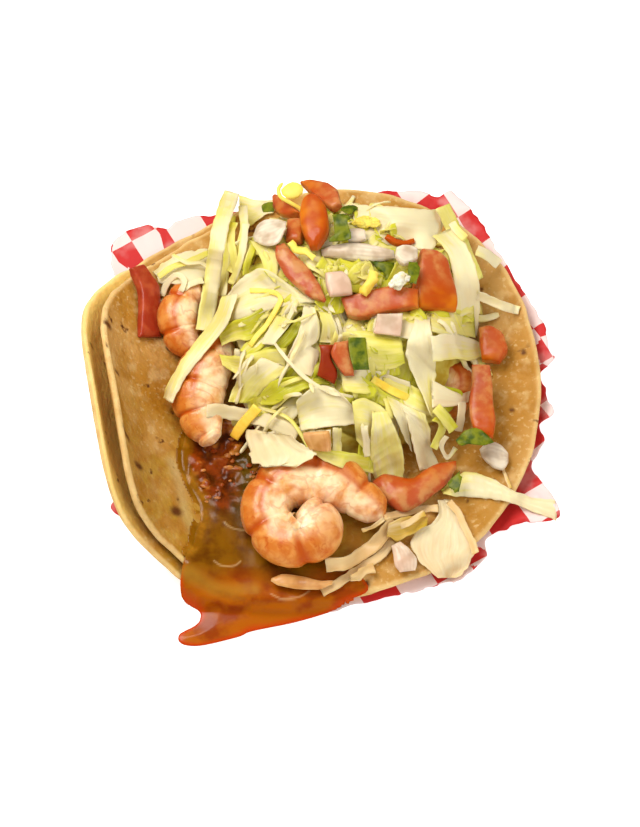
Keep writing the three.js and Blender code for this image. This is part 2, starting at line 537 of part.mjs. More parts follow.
/** Lets a piece down until it lies a gap above what is under it, and adds it. */
function setDown(piece) {
  const geometry = oriented(piece);
  geometry.translate(0, 0, ground.rise(geometry));
  const near = [...placed.values()];
  for (let tries = 0; tries < 12; tries++) {
    const own = solidOf(geometry);
    if (near.every((other) => own.intersect(other).isEmpty())) break;
    geometry.translate(0, 0, GAP);
  }
  addNode(piece.name, geometry, piece.of ?? piece.form);
  return geometry;
}

// ---------------------------------------------------------------- lettuce heap
/** A strip of lettuce in an arch over the core, with both ends in it, from x and y in the direction yaw. */
function lettuceStrip({ x, y, yaw, length, width, bend, lift, phase }, share = 1) {
  const start = THREE.MathUtils.degToRad(yaw);
  const turn = THREE.MathUtils.degToRad(bend);
  const plan = (t) => {
    const s = (t - 0.5) * length * share;
    const heading = start + (turn * s) / length / 2;
    return [x + s * Math.cos(heading), y + s * Math.sin(heading)];
  };
  const path = (t) => {
    const [px, py] = plan(t);
    const arch = Math.sin(Math.PI * t) ** 0.6 * (1 + 0.25 * Math.sin(6 * t + phase));
    return vec(px, py, coreTop(px, py) - 1.2 + (HEAP.strips + lift) * arch);
  };
  const up = (t) => heapUp(...plan(t));
  const section = (t) => {
    const w = (width / 2) * (0.7 + 0.3 * Math.sin(Math.PI * t));
    const h = LETTUCE_THICK / 2;
    return [[w, -h], [w, h], [-w, h], [-w, -h]];
  };
  return sweep(path, up, section, 5);
}

// The strips that show most, over the heap and past its left side: points [x, y, z], width.
const LEADING_STRIPS = [
  { points: [[-19, 58, 33], [-30, 48, 35], [-36, 32, 33], [-39, 17, 26]], width: 6 },
  { points: [[-16, 33, 38], [-28, 25, 36], [-40, 12, 27], [-49, -3, 17]], width: 5 },
  { points: [[-18, 35, 37], [-34, 37, 34], [-45, 37, 30], [-54, 34, 25]], width: 8 },
  { points: [[-12, -6, 30], [-22, -13, 28], [-30, -15, 27], [-38, -13, 25]], width: 7 },
  { points: [[22, -6, 36], [22, -13, 33], [21, -22, 27], [20, -31, 18]], width: 11 },
  { points: [[34, -5, 34], [34, -14, 29], [35, -21, 24], [36, -28, 17]], width: 6 },
  { points: [[22, 4, 38], [32, 7, 38], [44, 9, 33], [57, 9, 24]], width: 5 },
  { points: [[34, 55, 34], [43, 52, 33], [51, 43, 28], [56, 31, 20]], width: 8 },
];

/** A leading strip, raised by lift. */
function leadingStrip({ points, width }, lift) {
  const line = new THREE.CatmullRomCurve3(
    points.map(([x, y, z], i) => vec(x, y, i === 0 ? coreTop(x, y) - 1.5 : z + lift)),
  );
  const section = (t) => {
    const w = (width / 2) * (0.75 + 0.25 * Math.sin(Math.PI * t));
    const h = LETTUCE_THICK / 2;
    return [[w, -h], [w, h], [-w, h], [-w, -h]];
  };
  return sweep((t) => line.getPoint(t), () => vec(0, 0, 1), section, 8);
}

/** The heap: its core cut clear of the shrimp, with the strips that clear every topping fused on. */
function lettuceHeap() {
  let heap = solidOf(heapCore()).subtract(salsaGround);
  for (const piece of SHRIMP) {
    const grown = oriented(piece, { grow: 0.8 });
    const low = new THREE.Box3().setFromBufferAttribute(placedGeometry.get(piece.name).attributes.position).min.z;
    const own = new THREE.Box3().setFromBufferAttribute(grown.attributes.position).min.z;
    heap = heap.subtract(solidOf(grown.translate(0, 0, low - own - 0.8)));
  }
  return mainBody(heap);
}

/** Strips over the whole heap by a seeded rule, the spacing within each ring even. */
function stripPlan() {
  const random = seeded(7);
  const rings = [[0.2, 3], [0.42, 7], [0.64, 11], [0.84, 15], [0.97, 14]];
  return rings.flatMap(([share, count]) =>
    Array.from({ length: count }, (_, k) => {
      const a = (2 * Math.PI * (k + 0.7 * random())) / count;
      return {
        x: HEAP.x + HEAP.wide * share * Math.cos(a),
        y: HEAP.y + HEAP.long * share * Math.sin(a),
        yaw: THREE.MathUtils.radToDeg(a) + 50 + 130 * random(),
        length: 18 + 20 * random(),
        width: 3.5 + 4.5 * random(),
        bend: 100 * (random() - 0.5),
        lift: 3 * random(),
        phase: 6 * random(),
      };
    }),
  );
}

// ---------------------------------------------------------------- the taco, built from below
const placedGeometry = new Map();
addNode("paper", paper(), "paper");
addNode("tortilla_lower", tortilla(OUTER), "tortilla");
addNode("tortilla_upper", tortilla(INNER), "tortilla");
const salsaGround = salsa(GAP);
addNode("salsa", geometryOf(salsa()), "salsa");
for (const piece of SHRIMP) placedGeometry.set(piece.name, setDown(piece));

const core = lettuceHeap();
ground.add(geometryOf(core));
placed.set("heap", core);
for (const piece of [...LOOSE_LETTUCE, ...TOPPINGS]) setDown(piece);

placed.delete("heap");
let heap = core;
const clear = (solid) => [...placed.values()].every((other) => solid.intersect(other).isEmpty());
/** Fuses the first of these shapes that is clear, with room around it, of all other pieces. */
function fuseFirst(shapes) {
  for (const [one, room] of shapes) {
    if (!clear(solidOf(one)) || !clear(solidOf(room))) continue;
    heap = heap.add(solidOf(one));
    return;
  }
}
for (const strip of LEADING_STRIPS) {
  fuseFirst([0, 1, 2, -1, 3, 4, 5].map((lift) => [leadingStrip(strip, lift), leadingStrip({ ...strip, width: strip.width + 0.8 }, lift - 0.4)]));
}
for (const strip of stripPlan()) {
  const wider = { ...strip, width: strip.width + 0.8, lift: strip.lift + 0.5 };
  fuseFirst([1, 0.8, 0.6].map((share) => [lettuceStrip(strip, share), lettuceStrip(wider, share * 1.02)]));
}
addNode("lettuce_heap", geometryOf(mainBody(heap.simplify(0.06).subtract(salsaGround))), "lettuce");

// The origin is the middle of the footprint.
const whole = new THREE.Box3();
for (const mesh of taco.children) whole.union(new THREE.Box3().setFromBufferAttribute(mesh.geometry.attributes.position));
const centre = whole.getCenter(vec(0, 0, 0));
for (const mesh of taco.children) mesh.geometry.translate(-centre.x, -centre.y, -whole.min.z);

export default taco;
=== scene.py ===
"""The looks of an open shrimp taco: tortillas, checked paper, salsa, shrimp, shredded lettuce and toppings.

Shapes are worked out in millimetres, in the maker's own plan, and moved to the row frame in metres when
a mesh is made. Every random draw is seeded.
"""

from __future__ import annotations

import itertools
import logging
import math
from dataclasses import dataclass, field
from enum import Enum

import bpy
import numpy as np
from mathutils import Matrix, Vector

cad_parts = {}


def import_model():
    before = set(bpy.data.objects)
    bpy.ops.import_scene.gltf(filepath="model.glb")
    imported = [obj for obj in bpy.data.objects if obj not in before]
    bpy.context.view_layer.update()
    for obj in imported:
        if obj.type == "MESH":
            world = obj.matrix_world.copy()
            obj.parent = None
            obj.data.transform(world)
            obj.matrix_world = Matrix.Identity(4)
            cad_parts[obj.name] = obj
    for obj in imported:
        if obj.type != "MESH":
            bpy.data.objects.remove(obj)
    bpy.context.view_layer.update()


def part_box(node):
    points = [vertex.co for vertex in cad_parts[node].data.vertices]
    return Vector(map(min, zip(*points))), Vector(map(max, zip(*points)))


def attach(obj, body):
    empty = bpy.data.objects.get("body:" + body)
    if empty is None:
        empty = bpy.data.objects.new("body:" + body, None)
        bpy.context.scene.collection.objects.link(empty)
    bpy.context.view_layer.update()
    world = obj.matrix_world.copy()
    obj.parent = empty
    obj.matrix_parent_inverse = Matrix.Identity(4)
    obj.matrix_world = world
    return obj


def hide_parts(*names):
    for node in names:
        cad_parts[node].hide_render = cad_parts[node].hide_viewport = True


LOG = logging.getLogger("taco")
Material = bpy.types.Material
Socket = bpy.types.NodeSocket
Array = np.ndarray
Colour = tuple[float, float, float]
Points = tuple[tuple[float, float], ...]
MM = 0.001
TINY = 1e-9
FAR = 1e9
MOST_SEEDS = 1e6
ORIGIN = np.array([1.8912544, 0.8651314, 0.0])  # from the maker's plan to the middle of the footprint, mm

# sizes and places in millimetres, turns in radians, shares of another size without a unit
PAPER_THICK = 0.5
PAPER_LIFT = 0.8  # how much of the tortillas' lift the paper follows
RUFFLE_HEIGHT, RUFFLE_COUNT = 1.1, 17
STACK_GAP = 0.7
TORTILLA_RADIUS = 76.3
TORTILLA_THICK = 2.2
TORTILLA_MIDDLE = (-6.0, 0.5)
OVAL, OVAL_AT = 0.072, 0.245  # the rim's two-lobed error
LOBES, LOBES_AT = 0.042, 1.115  # its three-lobed error
DENT, DENT_AT, DENT_WIDTH = 0.055, -2.4, 0.24  # its dent
FOLD_TURN = math.radians(9.4)
FOLD_START = -29.5
INNER_CURL = 33.0
OUTER_CURL = 40.0
OUTER_SLIDE = (-7.8, 0.0)
ARC_SHARE = 0.97  # how far out on the curl's radius a height is still worked out
GAP = 0.4
INNER_LEVEL = PAPER_THICK + GAP + TORTILLA_THICK + STACK_GAP
OUTER_LEVEL = PAPER_THICK + GAP
LIFT_HEIGHT, LIFT_WIDTH = 6.0, 35.0
WAVE_HEIGHT = 0.7
WAVES = ((0.6, 13.0, 29.0), (0.4, 11.0, 31.0))  # share, and steps along its own axis and the other
HEAP_X, HEAP_Y, HEAP_LONG, HEAP_WIDE = 8.0, 19.0, 47.5, 44.0
HEAP_TURN = math.radians(4)
HEAP_HEIGHT = 31.0
HEAP_LUMPS = ((1.1, 5.2, 9.0), (0.9, 4.6, 8.0))  # height, and steps along its own axis and the other
HEAP_NEAR, HEAP_SLOPE = 0.92, 0.25  # share of the height in the middle, and its growth to the far end
SLOPE_STEP = 4.0
BED_START, BED_CLEAR = 5.0, 3.5  # how far below the toppings their bed starts, and how near it comes


# ---- numbers and noise
def smooth(x: Array) -> Array:
    """The S curve 3x^2 - 2x^3 of x held between 0 and 1."""
    x = np.clip(x, 0.0, 1.0)
    return x * x * (3 - 2 * x)


def noise(points: Array, scale: float, seed: int = 0) -> Array:
    """Smooth random values: those of the eight lattice corners around a point, blended by S curves.

    Args:
        points: places, shape (..., 2) or (..., 3), in millimetres.
        scale: the lattice's step in millimetres.
        seed: which lattice.

    Returns:
        Values from -1 to 1, one for each point.
    """
    p = np.asarray(points, float) / scale + 1000.0
    cell = np.floor(p).astype(np.int64)
    f = p - cell
    f = f * f * (3 - 2 * f)
    total = np.zeros(p.shape[:-1])
    primes = np.array([374761393, 668265263, 1274126177], np.int64)[: p.shape[-1]]
    for corner in itertools.product((0, 1), repeat=p.shape[-1]):
        c = np.array(corner)
        h = ((cell + c) * primes).sum(-1) + seed * 974634777
        h = (h ^ (h >> 13)) & 0x7FFFFFFF
        h = (h * 1103515245 + 12345) & 0x7FFFFFFF
        h = (h ^ (h >> 15)) & 0xFFFF
        total += np.prod(np.where(c == 1, f, 1 - f), axis=-1) * (h / 32767.5 - 1)
    return total


def curve(points: Array, t: Array) -> Array:
    """A Catmull-Rom curve through control points.

    Args:
        points: control points, shape (n, k).
        t: places along it from 0 to 1.

    Returns:
        Points of shape (len(t), k): in each span the cubic that has the slope of its neighbours' chord.
    """
    p = np.asarray(points, float)
    p = np.vstack([2 * p[0] - p[1], p, 2 * p[-1] - p[-2]])
    spans = len(p) - 3
    place = np.clip(t, 0, 1) * spans
    i = np.minimum(place.astype(int), spans - 1)
    f = (place - i)[:, None]
    a, b, c, d = p[i], p[i + 1], p[i + 2], p[i + 3]
    return 0.5 * (2 * b + (c - a) * f + (2 * a - 5 * b + 4 * c - d) * f**2 + (3 * b - a - 3 * c + d) * f**3)


def unit(v: Array) -> Array:
    """Vectors divided by their length."""
    return v / np.maximum(np.linalg.norm(v, axis=-1, keepdims=True), 1e-9)


def drift(points: Array, scale: float, seed: int) -> Array:
    """Smooth random shifts in two directions: the noise of a seed and that of the next."""
    return np.stack([noise(points, scale, seed), noise(points, scale, seed + 1)], -1)


# ---- the forms that everything lies on
def wave(x: Array, y: Array) -> Array:
    """The slow waves of the tortillas: two crossed sines, never below zero."""
    (share, step, cross), (other, across, along) = WAVES
    sines = 1 + share * np.sin(x / step + y / cross) + other * np.sin(y / across - x / along)
    return WAVE_HEIGHT * sines * 0.5


def across_and_along(x: Array, y: Array) -> tuple[Array, Array]:
    """Plan points turned into the fold's own directions, from the tortillas' middle."""
    dx, dy = x - TORTILLA_MIDDLE[0], y - TORTILLA_MIDDLE[1]
    c, s = math.cos(FOLD_TURN), math.sin(FOLD_TURN)
    return dx * c + dy * s, -dx * s + dy * c


def right_lift(u: Array, shift: float = 0.0) -> Array:
    """The rise of the right side: a parabola from LIFT_WIDTH inside the rim."""
    return LIFT_HEIGHT * np.clip((u - shift - (TORTILLA_RADIUS - LIFT_WIDTH)) / LIFT_WIDTH, 0, 1) ** 2


def rim_radius(a: Array) -> Array:
    """A tortilla's radius at an angle: a circle with two-lobed and three-lobed errors and a shallow dent."""
    past = np.mod(a + (math.pi - DENT_AT), 2 * np.pi) - np.pi
    dent = DENT * np.exp(-(past / DENT_WIDTH) ** 2)
    errors = OVAL * np.cos(2 * (a - OVAL_AT)), LOBES * np.cos(3 * (a - LOBES_AT))
    return TORTILLA_RADIUS * (1 + errors[0] + errors[1] - dent)


def tortilla_top(x: Array, y: Array) -> Array:
    """Height of the upper tortilla's top: flat with waves, a circle's arc left of the fold's start."""
    u, _ = across_and_along(x, y)
    reach = INNER_CURL - TORTILLA_THICK / 2
    past = np.clip(FOLD_START - u, 0, reach * ARC_SHARE)
    return INNER_LEVEL + TORTILLA_THICK + wave(x, y) + right_lift(u) + reach - np.sqrt(reach**2 - past**2)


def paper_height(x: Array, y: Array) -> Array:
    """Height of the paper's lower face: flat, ruffled outside the tortilla and lifted on the right."""
    u, v = across_and_along(x, y)
    du, dv = u - OUTER_SLIDE[0], v - OUTER_SLIDE[1]
    outside = smooth((np.hypot(du, dv) - rim_radius(np.arctan2(dv, du)) - 3) / 8)
    ruffle = RUFFLE_HEIGHT * outside * (1 + np.sin(np.arctan2(v, u) * RUFFLE_COUNT))
    return PAPER_LIFT * right_lift(u, 4) + ruffle * smooth((u + 20) / 30)


def heap_share(x: Array, y: Array) -> Array:
    """How far out in the heap's oval a plan point lies: 0 in the middle, 1 at the edge."""
    c, s = math.cos(HEAP_TURN), math.sin(HEAP_TURN)
    dx, dy = x - HEAP_X, y - HEAP_Y
    return np.hypot((dx * c + dy * s) / HEAP_WIDE, (-dx * s + dy * c) / HEAP_LONG)


def heap_top(x: Array, y: Array) -> Array:
    """Height of the heap's outside: a flat-topped dome that stands higher on the far side, with lumps."""
    c, s = math.cos(HEAP_TURN), math.sin(HEAP_TURN)
    share = heap_share(x, y)
    inside = np.clip(share, 0, 1)
    (high, step, cross), (low, across, along) = HEAP_LUMPS
    lumps = high * np.sin(x / step + y / cross) + low * np.sin(y / across - x / along)
    tilt = HEAP_NEAR + HEAP_SLOPE * (-(x - HEAP_X) * s + (y - HEAP_Y) * c) / HEAP_LONG
    dome = HEAP_HEIGHT * tilt * (1 - inside**4) ** 0.55 + lumps * (1 - inside)
    return tortilla_top(x, y) + np.where(share < 1, dome, 0)


def heap_up(x: float, y: float, share: float) -> Vector:
    """The heap's outward direction above a point, its slope taken over SLOPE_STEP each way, times a share."""
    step = SLOPE_STEP
    east, west = heap_top(np.array(x + step), np.array(y)), heap_top(np.array(x - step), np.array(y))
    north, south = heap_top(np.array(x), np.array(y + step)), heap_top(np.array(x), np.array(y - step))
    px, py = (east - west) / (2 * step), (north - south) / (2 * step)
    return Vector((-float(px) * share, -float(py) * share, 1)).normalized()


@dataclass(frozen=True)
class Sight:
    """The camera's line of sight, taken as parallel: where a point of the frame lies in the plan.

    It looks down at aim at the angle height, and shows aim at the frame's middle. Scale is in
    millimetres for each frame point. Heights on the tortilla are looked for from first, in rounds.
    """

    aim: tuple[float, float, float] = (-0.6, -6.5, 10.0)
    middle: tuple[float, float] = (320.0, 413.5)
    scale: float = 0.327
    height: float = math.radians(66)
    first: float = 8.0
    rounds: int = 30
    def plan(self, col: Array, row: Array, z: Array | float) -> tuple[Array, Array]:
        """Plan places that show at frame points: a step down the frame is shared between nearer and lower.

        Args:
            col, row: frame points.
            z: their heights in millimetres.

        Returns:
            x and y in millimetres.
        """
        down = (row - self.middle[1]) * self.scale + (z - self.aim[2]) * math.cos(self.height)
        return self.aim[0] + (col - self.middle[0]) * self.scale, self.aim[1] - down / math.sin(self.height)

    def on_plane(self, col: Array, row: Array, centre: Array, slope: tuple[float, float]) -> Array:
        """Points [x, y, z] of a sloping plane that show at frame points: two linear equations, solved."""
        c, s = math.cos(self.height), math.sin(self.height)
        x = self.aim[0] + (col - self.middle[0]) * self.scale
        level = self.aim[1] - ((row - self.middle[1]) * self.scale - self.aim[2] * c) / s
        rise = centre[2] + slope[0] * (x - centre[0]) + slope[1] * (level - centre[1])
        z = rise / (1 + slope[1] * c / s)
        return np.stack([x, level - z * c / s, z], -1)

    def on_tortilla(self, points: Points) -> Array:
        """Points [x, y, z] of the upper tortilla that show at frame points, by repeated halved steps."""
        frame = np.array(points, float)
        z = np.full(len(frame), self.first)
        for _ in range(self.rounds):
            x, y = self.plan(frame[:, 0], frame[:, 1], z)
            z = 0.5 * z + 0.5 * tortilla_top(x, y)
        return np.stack([x, y, z], -1)


SIGHT = Sight()


def line_distance(x: Array, y: Array, line: Array) -> Array:
    """Distance of plan points from a line of plan points: to the nearest point of its nearest edge."""
    best = np.full(np.shape(x), FAR)
    for (ax, ay), (bx, by) in zip(line[:-1, :2], line[1:, :2]):
        dx, dy = bx - ax, by - ay
        t = np.clip(((x - ax) * dx + (y - ay) * dy) / max(dx * dx + dy * dy, TINY), 0, 1)
        best = np.minimum(best, np.hypot(x - ax - t * dx, y - ay - t * dy))
    return best


def near_line(x: Array, y: Array, line: Array, width: float) -> Array:
    """A smooth bump over plan points: 1 on a line of plan points and 0 beyond width from it."""
    return smooth(1 - line_distance(x, y, line) / width)


def middle_of(low: tuple[float, ...], high: tuple[float, ...]) -> Array:
    """Middle of a box of the frame, carried back to the maker's plan and to millimetres."""
    return (np.array(low) + np.array(high)) / 2 / MM - ORIGIN


# ---- meshes
@dataclass
class Surface:
    """A closed surface: points in millimetres, faces, and named values for each point."""

    points: Array
    quads: Array
    tris: Array
    values: dict[str, Array] = field(default_factory=dict)

    def moved(self, turn: Array | None = None, by: Array | None = None) -> Surface:
        """A copy turned by a 3 x 3 matrix and then shifted."""
        points = self.points if turn is None else self.points @ turn.T
        return Surface(points if by is None else points + by, self.quads, self.tris, self.values)


def rings(grid: Array, first: Array, last: Array, **values: Array) -> Surface:
    """A closed surface from rows of points, each a ring, with a fan to a tip at either end.

    Args:
        grid: points of shape (rows, sides, 3).
        first: the tip before the first row.
        last: the tip after the last row.
        values: for each name the values of the grid's points, shape (rows, sides).

    Returns:
        The surface, faced outwards by the sign of its volume.
    """
    rows, sides = grid.shape[:2]
    points = np.vstack([grid.reshape(-1, 3), first, last])
    i = np.arange(rows - 1)[:, None] * sides
    j = np.arange(sides)[None, :]
    k = (j + 1) % sides
    quads = np.stack([i + j, i + k, i + sides + k, i + sides + j], -1).reshape(-1, 4)
    j, k = j[0], k[0]
    end = (rows - 1) * sides
    low = np.stack([np.full(sides, len(points) - 2), k, j], -1)
    high = np.stack([np.full(sides, len(points) - 1), end + j, end + k], -1)
    tris = np.vstack([low, high])
    a, b, c = (points[tris[:, n]] for n in range(3))
    q0, q1, q2, q3 = (points[quads[:, n]] for n in range(4))
    volume = (a * np.cross(b, c)).sum() + (q0 * np.cross(q1, q2)).sum() + (q0 * np.cross(q2, q3)).sum()
    if volume < 0:
        quads, tris = quads[:, ::-1], tris[:, ::-1]
    tips = {n: np.concatenate([v.ravel(), [v[0].mean(), v[-1].mean()]]) for n, v in values.items()}
    return Surface(points, quads, tris, tips)


def joined(surfaces: list[Surface]) -> Surface:
    """Several surfaces as one."""
    starts = np.cumsum([0] + [len(s.points) for s in surfaces[:-1]])
    names = surfaces[0].values.keys()
    return Surface(
        np.vstack([s.points for s in surfaces]),
        np.vstack([s.quads + k for s, k in zip(surfaces, starts)]),
        np.vstack([s.tris + k for s, k in zip(surfaces, starts)]),
        {n: np.concatenate([s.values[n] for s in surfaces]) for n in names},
    )


def make_piece(name: str, surface: Surface, finish: Material,
               nodes: tuple[str, ...] = ()) -> bpy.types.Object:
    """Makes a smooth-shaded mesh object of a surface, dresses it and sets it in the frame.

    Args:
        name: the piece's name.
        surface: its points in the maker's plan, in millimetres.
        finish: its material.
        nodes: the solids that it stands for.

    Returns:
        The object, at the origin, with its place in its mesh.
    """
    mesh = bpy.data.meshes.new(name)
    points = ((surface.points + ORIGIN) * MM).astype(np.float32)
    loops = np.concatenate([surface.quads.ravel(), surface.tris.ravel()]).astype(np.int32)
    sizes = np.concatenate([np.full(len(surface.quads), 4), np.full(len(surface.tris), 3)])
    starts = np.concatenate([[0], np.cumsum(sizes)[:-1]]).astype(np.int32)
    mesh.vertices.add(len(points))
    mesh.vertices.foreach_set("co", points.ravel())
    mesh.loops.add(len(loops))
    mesh.loops.foreach_set("vertex_index", loops)
    mesh.polygons.add(len(sizes))
    mesh.polygons.foreach_set("loop_start", starts)
    mesh.polygons.foreach_set("use_smooth", np.ones(len(sizes), bool))
    for key, value in surface.values.items():
        layer = mesh.attributes.new(key, "FLOAT", "POINT")
        layer.data.foreach_set("value", value.astype(np.float32))
    mesh.update(calc_edges=True)
    mesh.validate()
    mesh.materials.append(finish)
    piece = bpy.data.objects.new(name, mesh)
    bpy.context.scene.collection.objects.link(piece)
    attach(piece, "root")
    if nodes:
        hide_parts(*nodes)
    LOG.info("%s: %d points", name, len(points))
    return piece


def sweep(centre: Array, up: Array, section: Array, **values: Array) -> Surface:
    """A section carried along a path.

    Args:
        centre: the path's points, shape (n, 3).
        up: the section's up direction at each point, shape (n, 3) or (3,).
        section: sideways and upward offsets at each point, shape (n, m, 2).
        values: for each name the values on the grid, shape (n, m).

    Returns:
        The closed surface: each ring lies square to the path.
    """
    along = unit(np.gradient(centre, axis=0))
    side = unit(np.cross(along, np.broadcast_to(up, along.shape)))
    over = np.cross(side, along)
    grid = centre[:, None] + side[:, None] * section[..., :1] + over[:, None] * section[..., 1:]
    return rings(grid, centre[0], centre[-1], **values)


class Ground:
    """The highest surface over a plan grid, on which pieces are laid one after the other."""

    keep = np.maximum

    def __init__(self, start: float = 0.0, cell: float = 1.0, half: float = 96.0) -> None:
        """Starts with nothing: all at one height."""
        self.cell, self.half = cell, half
        self.count = int(2 * half / cell)
        self.height = np.full((self.count, self.count), start)

    def index(self, x: Array, y: Array) -> tuple[Array, Array]:
        """The grid cells that hold plan points."""
        col = np.clip(((x + self.half) / self.cell).astype(int), 1, self.count - 2)
        row = np.clip(((y + self.half) / self.cell).astype(int), 1, self.count - 2)
        return row, col

    def at(self, x: Array, y: Array) -> Array:
        """The height to keep, here the highest, of the nine cells around each plan point."""
        row, col = self.index(x, y)
        return self.keep.reduce([self.height[row + i, col + j] for i in (-1, 0, 1) for j in (-1, 0, 1)])

    def add(self, points: Array) -> None:
        """Brings the cells that hold points to their height, here by raising them."""
        row, col = self.index(points[:, 0], points[:, 1])
        self.keep.at(self.height, (row, col), points[:, 2])


class Ceiling(Ground):
    """The lowest underside over a plan grid, which lettuce stays below: it keeps the lowest height."""

    keep = np.minimum
    nothing = 500.0

    def __init__(self) -> None:
        """Starts with nothing overhead."""
        super().__init__(start=self.nothing)

    def widen(self, cells: int = 6, rise: float = 1.5, reach: int = 14, fall: float = 0.9) -> None:
        """Spreads it outwards as a cone, and lays a bed under it that carries what is overhead.

        Args:
            cells: how many cells the cone spreads.
            rise: how much it rises for each cell.
            reach: how many cells the bed spreads.
            fall: how much the bed falls for each cell. It starts BED_START below and stays BED_CLEAR below.
        """
        self.bed = np.where(self.height < self.nothing, self.height - BED_START, 0.0)
        for k in range(reach):
            for axis, way in itertools.product((0, 1), (-1, 1)):
                self.bed = np.maximum(self.bed, np.roll(self.bed, way, axis) - fall)
                if k < cells:
                    self.height = np.minimum(self.height, np.roll(self.height, way, axis) + rise)
        self.bed = np.minimum(self.bed, self.height - BED_CLEAR)

    def bed_at(self, x: Array, y: Array) -> Array:
        """Height of that bed."""
        return self.bed[self.index(x, y)]


# ---- finishes
def rgb(red: int, green: int, blue: int) -> Colour:
    """A colour given as screen values from 0 to 255, made linear."""
    return tuple((v / 255 / 12.92) if v <= 10 else ((v / 255 + 0.055) / 1.055) ** 2.4
                 for v in (red, green, blue))


class Shader:
    """A small builder of node materials."""

    def __init__(self, name: str) -> None:
        """Starts a material with a principled shader."""
        self.material = bpy.data.materials.new(name)
        self.material.use_nodes = True
        self.tree = self.material.node_tree
        self.body = next(n for n in self.tree.nodes if n.type == "BSDF_PRINCIPLED")
        self.out = next(n for n in self.tree.nodes if n.type == "OUTPUT_MATERIAL")
        self.place = self.tree.nodes.new("ShaderNodeTexCoord").outputs["Object"]

    def node(self, kind: str, **settings: object) -> bpy.types.Node:
        """Adds a node and sets its properties."""
        made = self.tree.nodes.new(kind)
        for key, value in settings.items():
            setattr(made, key, value)
        return made

    def link(self, source: Socket, target: Socket) -> None:
        """Joins two sockets."""
        self.tree.links.new(source, target)

    def noise(self, size: float, detail: float = 3.0, distort: float = 0.0) -> Socket:
        """Noise whose blots are about size millimetres across.

        Args:
            size: blot size in millimetres.
            detail: how many finer layers.
            distort: how much the blots are bent.

        Returns:
            The socket of values from 0 to 1.
        """
        made = self.node("ShaderNodeTexNoise")
        made.inputs["Scale"].default_value = 1 / MM / size
        made.inputs["Detail"].default_value = detail
        made.inputs["Distortion"].default_value = distort
        self.link(self.place, made.inputs["Vector"])
        return made.outputs["Fac"]

    def blots(self, size: float, detail: float, levels: tuple[float, float], share: float = 1.0,
              distort: float = 0.0) -> Socket:
        """Noise spread between two levels, so that it shows as blots.

        Args:
            size: blot size in millimetres.
            detail: how many finer layers.
            levels: the noise values that become 0 and 1.
            share: what the result is multiplied by.
            distort: how much the blots are bent.

        Returns:
            The socket of values from 0 to share.
        """
        made = self.spread(self.noise(size, detail, distort), *levels)
        return made if share == 1.0 else self.times(made, share)

    def streaks(self, across: str, along: str, size: float, stretch: float) -> Socket:
        """Noise drawn out along a piece, from its own across and along values in millimetres.

        Args:
            across, along: names of the values.
            size: width of a streak in millimetres.
            stretch: how many times longer than wide it is.

        Returns:
            The socket of values from 0 to 1.
        """
        both = self.node("ShaderNodeCombineXYZ")
        self.link(self.value(across), both.inputs[0])
        self.link(self.maths("DIVIDE", self.value(along), stretch), both.inputs[1])
        made = self.node("ShaderNodeTexNoise")
        made.inputs["Scale"].default_value = 1 / size
        made.inputs["Detail"].default_value = 3.0
        self.link(both.outputs[0], made.inputs["Vector"])
        return made.outputs["Fac"]

    def cells(self, size: float) -> Socket:
        """Distance to scattered points that lie about size millimetres apart."""
        made = self.node("ShaderNodeTexVoronoi")
        made.inputs["Scale"].default_value = 1 / MM / size
        self.link(self.place, made.inputs["Vector"])
        return made.outputs["Distance"]

    def value(self, name: str) -> Socket:
        """A value that the mesh carries for each point."""
        return self.node("ShaderNodeAttribute", attribute_name=name).outputs["Fac"]

    def spread(self, source: Socket, low: float, high: float) -> Socket:
        """Values from low to high spread smoothly over 0 to 1."""
        made = self.node("ShaderNodeMapRange", interpolation_type="SMOOTHSTEP")
        made.inputs["From Min"].default_value = low
        made.inputs["From Max"].default_value = high
        self.link(source, made.inputs["Value"])
        return made.outputs["Result"]

    def maths(self, kind: str, a: Socket, b: Socket | float) -> Socket:
        """A sum, product or other simple step on values."""
        made = self.node("ShaderNodeMath", operation=kind)
        self.link(a, made.inputs[0])
        if isinstance(b, (int, float)):
            made.inputs[1].default_value = b
        else:
            self.link(b, made.inputs[1])
        return made.outputs[0]

    def times(self, a: Socket, b: Socket | float) -> Socket:
        """The product of two values."""
        return self.maths("MULTIPLY", a, b)

    def feed(self, source: Colour | Socket, target: Socket) -> None:
        """Gives a colour socket a fixed colour or what another socket sends."""
        if isinstance(source, tuple):
            target.default_value = (*source, 1)
        else:
            self.link(source, target)

    def mix(self, share: Socket, a: Colour | Socket, b: Colour | Socket) -> Socket:
        """Colour a where share is 0 and b where it is 1."""
        made = self.node("ShaderNodeMix", data_type="RGBA")
        self.link(share, made.inputs[0])
        self.feed(a, made.inputs[6])
        self.feed(b, made.inputs[7])
        return made.outputs[2]

    def over(self, base: Socket, *layers: tuple[str, float, Colour | Socket]) -> Socket:
        """Lays colours over a base one after the other, each where one of the mesh's values is high.

        Args:
            base: the colour below.
            layers: for each the value's name, what it is multiplied by, and the colour.

        Returns:
            The socket of the colour on top.
        """
        for name, share, colour in layers:
            where = self.value(name) if share == 1 else self.times(self.value(name), share)
            base = self.mix(where, base, colour)
        return base

    def colour(self, source: Socket) -> None:
        """Sets the base colour."""
        self.link(source, self.body.inputs["Base Color"])

    def relief(self, height: Socket, depth: float, strength: float = 0.6) -> None:
        """Bump of that depth in millimetres."""
        made = self.node("ShaderNodeBump")
        made.inputs["Distance"].default_value = depth * MM
        made.inputs["Strength"].default_value = strength
        self.link(height, made.inputs["Height"])
        self.link(made.outputs["Normal"], self.body.inputs["Normal"])

